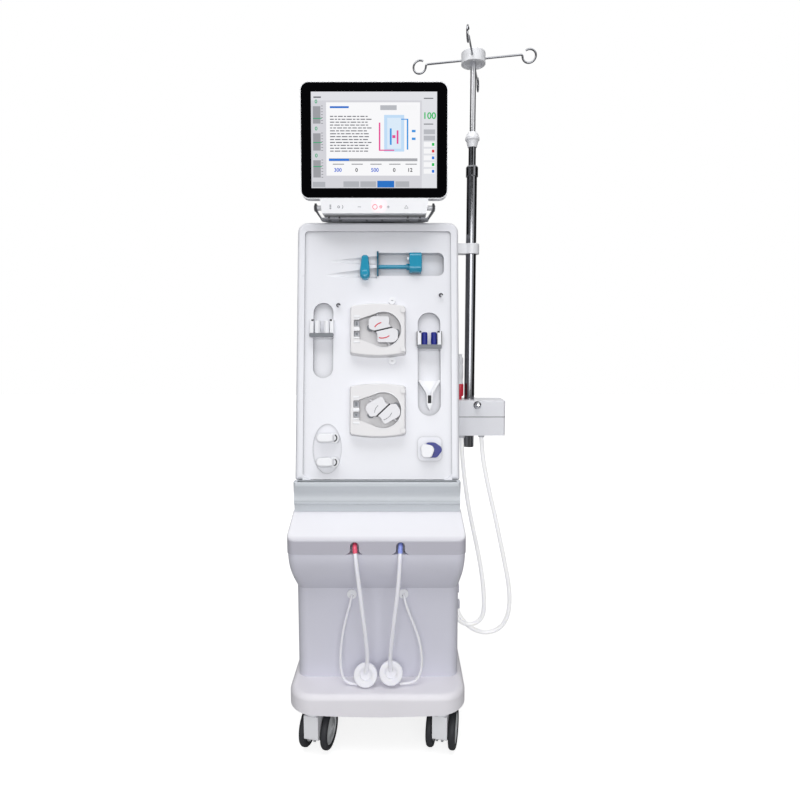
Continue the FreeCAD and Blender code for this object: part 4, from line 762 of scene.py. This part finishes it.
# %% Blood pump details
PUMPS = {1: (0.0145, 0.3700, 0), 2: (0.0145, 0.1707, 30)}
HOUSING_FRONT = -0.021
ROTOR_FRONT = -0.0231
GROOVE_TILT = math.radians(-13.2)
PAD_HEIGHTS = ((0.0075, 0.0225), (-0.017, -0.0055))
RIB_HEIGHTS = ((0.030, 0.0345), (0.0255, 0.0275), (-0.0025, 0.0045), (-0.0225, -0.020), (-0.0335, -0.029))
stroke_grey = finish("stroke_grey", linear(70, 72, 78), 0.5, bump=0)
for number, (x, z, turn) in PUMPS.items():
    seat = PANEL @ Matrix.Translation((x, 0, z))
    spin = seat @ Matrix.Rotation(math.radians(-turn), 4, "Y")
    rotor = "rotor_%d" % number
    ink, wide = (red_plastic, 0.0013) if number == 1 else (stroke_grey, 0.0005)
    for part, across, up, radius, first, last in (("upper", -0.0006, -0.0076, 0.024, 100, 148),
                                                  ("lower", -0.0031, 0.0079, 0.030, -105, -53)):
        ring("%s_stroke_%s" % (rotor, part), across, up, radius + wide, radius - wide, first, last, spin,
             ROTOR_FRONT - 0.0003, ROTOR_FRONT + 0.001, ink, rotor, "blue_plastic", 14)
    # The dark plate sits deep in the groove as painted shade for the gap between the lobes.
    slab(rotor + "_groove_shade", rounded(-0.023, -0.0019, 0.023, 0.0019, 0.0008, 3), ROTOR_FRONT + 0.003,
         ROTOR_FRONT + 0.0048, spin @ Matrix.Rotation(GROOVE_TILT, 4, "Y"), dark_plastic, rotor)
    for index, (low, high) in enumerate(PAD_HEIGHTS):
        slab("pump_%d_pad_%d" % (number, index), rounded(-0.0715, low, -0.059, high, 0.001, 3),
             HOUSING_FRONT + 0.004, HOUSING_FRONT + 0.012, seat, pale_grey, "cabinet", 0.0006)
        core = rounded(-0.0685, low + 0.003, -0.063, high - 0.003, 0.001, 3)
        slab("pump_%d_pad_core_%d" % (number, index), core, HOUSING_FRONT + 0.003,
             HOUSING_FRONT + 0.0045, seat, grey_plastic, "cabinet", 0.0005)
    for index, (low, high) in enumerate(RIB_HEIGHTS):
        slab("pump_%d_rib_%d" % (number, index), rounded(-0.073, low, -0.0575, high, 0.001, 3),
             HOUSING_FRONT - 0.0012, HOUSING_FRONT + 0.002, seat, white_plastic, "cabinet",
             0.0006)
    ring("pump_%d_chamber_ring" % number, 0, 0, 0.0455, 0.0442, -110, 118, seat, HOUSING_FRONT - 0.0006,
         HOUSING_FRONT + 0.001, white_plastic, "cabinet", "white_plastic", 60)
print("pumps:", len(PUMPS))

# %% [markdown]
# The two tube clips stand on grey shelves, each a thin plate with a thicker lip in front. Their posts have
# dark caps, and those of the blue clip dark outer edges as well.

# %% Clip shelves
CLIPS = {"white": (-0.1385, 0.353), "blue": (0.1285, 0.324)}
POST_X = 0.0228
POST_EDGE_X = 0.0303
for name, (x, z) in CLIPS.items():
    place = PANEL @ Matrix.Translation((x, 0, z))
    slab(name + "_shelf_lip", rounded(-0.030, -0.0012, 0.030, 0.0092, 0.003), -0.0165, -0.0138, place,
         grey_plastic, "cabinet", 0.001)
    slab(name + "_shelf_top", rounded(-0.0292, 0.0060, 0.0292, 0.0083, 0.0008), -0.0150, 0.0046, place,
         grey_plastic, "cabinet")
    for side, hand in HANDS.items():
        post, edge = side * POST_X, side * POST_EDGE_X
        outline = rounded(post - 0.0027, 0.0392, post + 0.0027, 0.0434, 0.0006, 2)
        slab("%s_post_cap_%s" % (name, hand), outline, -0.0134, -0.0085, place, dark_plastic, "cabinet")
        if name == "blue":
            slab("blue_post_edge_" + hand, rounded(edge - 0.0007, 0.009, edge + 0.0007, 0.0432, 0.0005, 2),
                 -0.0125, 0.0046, place, dark_plastic, "cabinet")
print("clips:", len(CLIPS))

# %% [markdown]
# The funnel under the right slot has a dark mouth in its neck, a plate of painted shade for the opening,
# and the two port levers carry a dark half-moon beside their round eye. These are small dark inlays. The
# discs on the panel and the ports on the cabinet get a slot or a rim, the panel's foot two white corners,
# and the syringe drive its button and its clamp's round cap. The grey slots on the discs and the notches
# in the ports are painted shade for those cuts.

# %% Small inlays
# Painted shade: a dark plate for the open mouth in the funnel's neck.
slab("funnel_mouth_shade", rounded(0.1250, 0.1875, 0.1335, 0.2085, 0.0015), 0.0025, 0.006, PANEL, dark_plastic,
     "cabinet")
for name, z in (("upper", 0.1028), ("lower", 0.0438)):
    ring("lever_moon_" + name, -0.107, z, 0.0098, 0.0070, -75, 65, PANEL, -0.0188, -0.0165, dark_plastic,
         "lever_" + name, "grey_plastic", 18)
# Painted shade: grey plates for the slots in the discs.
for index, (x, z) in enumerate(((0.036, 0.4452), (0.0365, 0.2935))):
    slab("disc_slot_%d" % index, rounded(x - 0.003, z - 0.0006, x + 0.003, z + 0.0006, 0.0005, 2), -0.0063,
         -0.0058, PANEL, grey_plastic, "cabinet")
for index, route in enumerate((LEFT_RINSE_ROUTE, RIGHT_RINSE_ROUTE)):
    place = Matrix.Translation(route[0])
    ring("port_rim_%d" % index, 0, 0, 0.0105, 0.0085, 0, 359, place, -0.0008, 0.0004, white_plastic,
         "cabinet", "white_plastic")
    # Painted shade: a grey plate for the notch in the port.
    slab("port_notch_shade_%d" % index, rounded(-0.004, -0.0045, 0.004, -0.0025, 0.0009), -0.0010, 0.0004, place,
         grey_plastic, "cabinet")
GUSSET = ((0.164, 0.0002), (0.177, 0.006), (0.184, 0.015), (0.184, 0.0002))
for side, hand in HANDS.items():
    slab("foot_gusset_" + hand, mirrored(GUSSET, side), -0.0002, FIELD + 0.001, PANEL, panel_paint, "cabinet")
button = PANEL @ Matrix.Translation((0.0742, -0.002, 0.552)) @ Matrix.Rotation(math.radians(-90), 4, "Y")
lathe("pusher_button", [(0.0001, 0.0008), (0.0036, 0.0006), (0.0044, -0.0002), (0.0044, -0.004)], button,
      white_plastic, "pusher", 24)
cap = PANEL @ Matrix.Translation((-0.032, -0.0138, 0.512)) @ Matrix.Rotation(math.radians(90), 4, "X")
lathe("clamp_cap", [(0.0001, 0.0014), (0.006, 0.0013), (0.0092, 0.0006), (0.0102, -0.0006)], cap,
      teal_plastic, "barrel_clamp", 32)
print("inlays placed")

# %% [markdown]
# The side box has a dark seam across its front and a dark ring round its knob. The coupling above it is a
# white connector over a red sleeve, held by a black clip. Turned pieces with fine steps give them the look
# of hose fittings.

# %% Side coupling
COUPLING = CABINET @ Matrix.Translation((0.220, 0.045, 0))
CONNECTOR = [(0.0001, 0.981), (0.0058, 0.981), (0.006, 0.972), (0.0088, 0.970), (0.0092, 0.958),
             (0.0082, 0.956), (0.0082, 0.950), (0.0092, 0.948), (0.0092, 0.915), (0.0082, 0.913),
             (0.0082, 0.906), (0.009, 0.904), (0.009, 0.899), (0.0001, 0.899)]
SLEEVE = [(0.0001, 0.899), (0.0098, 0.899), (0.0106, 0.895), (0.0106, 0.869), (0.0092, 0.865),
          (0.006, 0.864), (0.006, 0.8562), (0.0001, 0.8562)]
white_end = lathe("coupling_white", CONNECTOR, COUPLING, white_plastic, "cabinet")
red_end = lathe("coupling_red", SLEEVE, COUPLING, red_plastic, "cabinet")
clip = slab("coupling_clip", rounded(-0.019, 0.912, -0.005, 0.946, 0.002), -0.009, 0.009, COUPLING,
            dark_plastic, "cabinet", 0.001)
for piece in (white_end, red_end, clip):
    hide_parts("side_coupling")
groove = rounded(0.2035, 0.8098, 0.3425, 0.8112, 0.0006, 2)
slab("box_shadow_line", groove, 0.0182, 0.0188, CABINET, dark_plastic, "cabinet")
knob_seat = CABINET @ Matrix.Translation((0.266, 0.017, 0.843))
ring("knob_shadow_ring", 0, 0, 0.0106, 0.0052, 0, 359, knob_seat, -0.0006, 0.0002, dark_plastic, "cabinet",
     "grey_plastic", 40)
print("coupling made")

# %% [markdown]
# Each front hose has a coloured end where it leaves the hood, a short sleeve of red or blue silicone.

# %% Hose ends
for name, material in (("red", red_silicone), ("blue", blue_silicone)):
    route = RED_ROUTE if name == "red" else BLUE_ROUTE
    tube(name + "_sleeve", route[:3] + [(route[2] + route[3]) / 2], 0.0056, material, "cabinet")
print("sleeves made")

# %% [markdown]
# Last comes the back: round screw heads at the corners of the louvred panel and a dark well in the mains
# socket, so that the machine holds up from behind too.

# %% Back details
BACK = CABINET @ Matrix.Translation((0, 0.215, 0))
SCREW = [(0.0001, 0.0018), (0.003, 0.0016), (0.0042, 0.0002), (0.0042, -0.0004)]
for index, (x, z) in enumerate(((-0.148, 0.705), (0.148, 0.705), (-0.148, 1.235), (0.148, 1.235))):
    place = BACK @ aim((x, 0.0, z), (0, 1, 0))
    lathe("rear_screw_%d" % index, SCREW, place, chrome, "cabinet", 24)
slab("mains_well", rounded(-0.085, 0.275, -0.047, 0.309, 0.002), 0.009, 0.010, BACK, dark_plastic, "cabinet")
print("back finished")
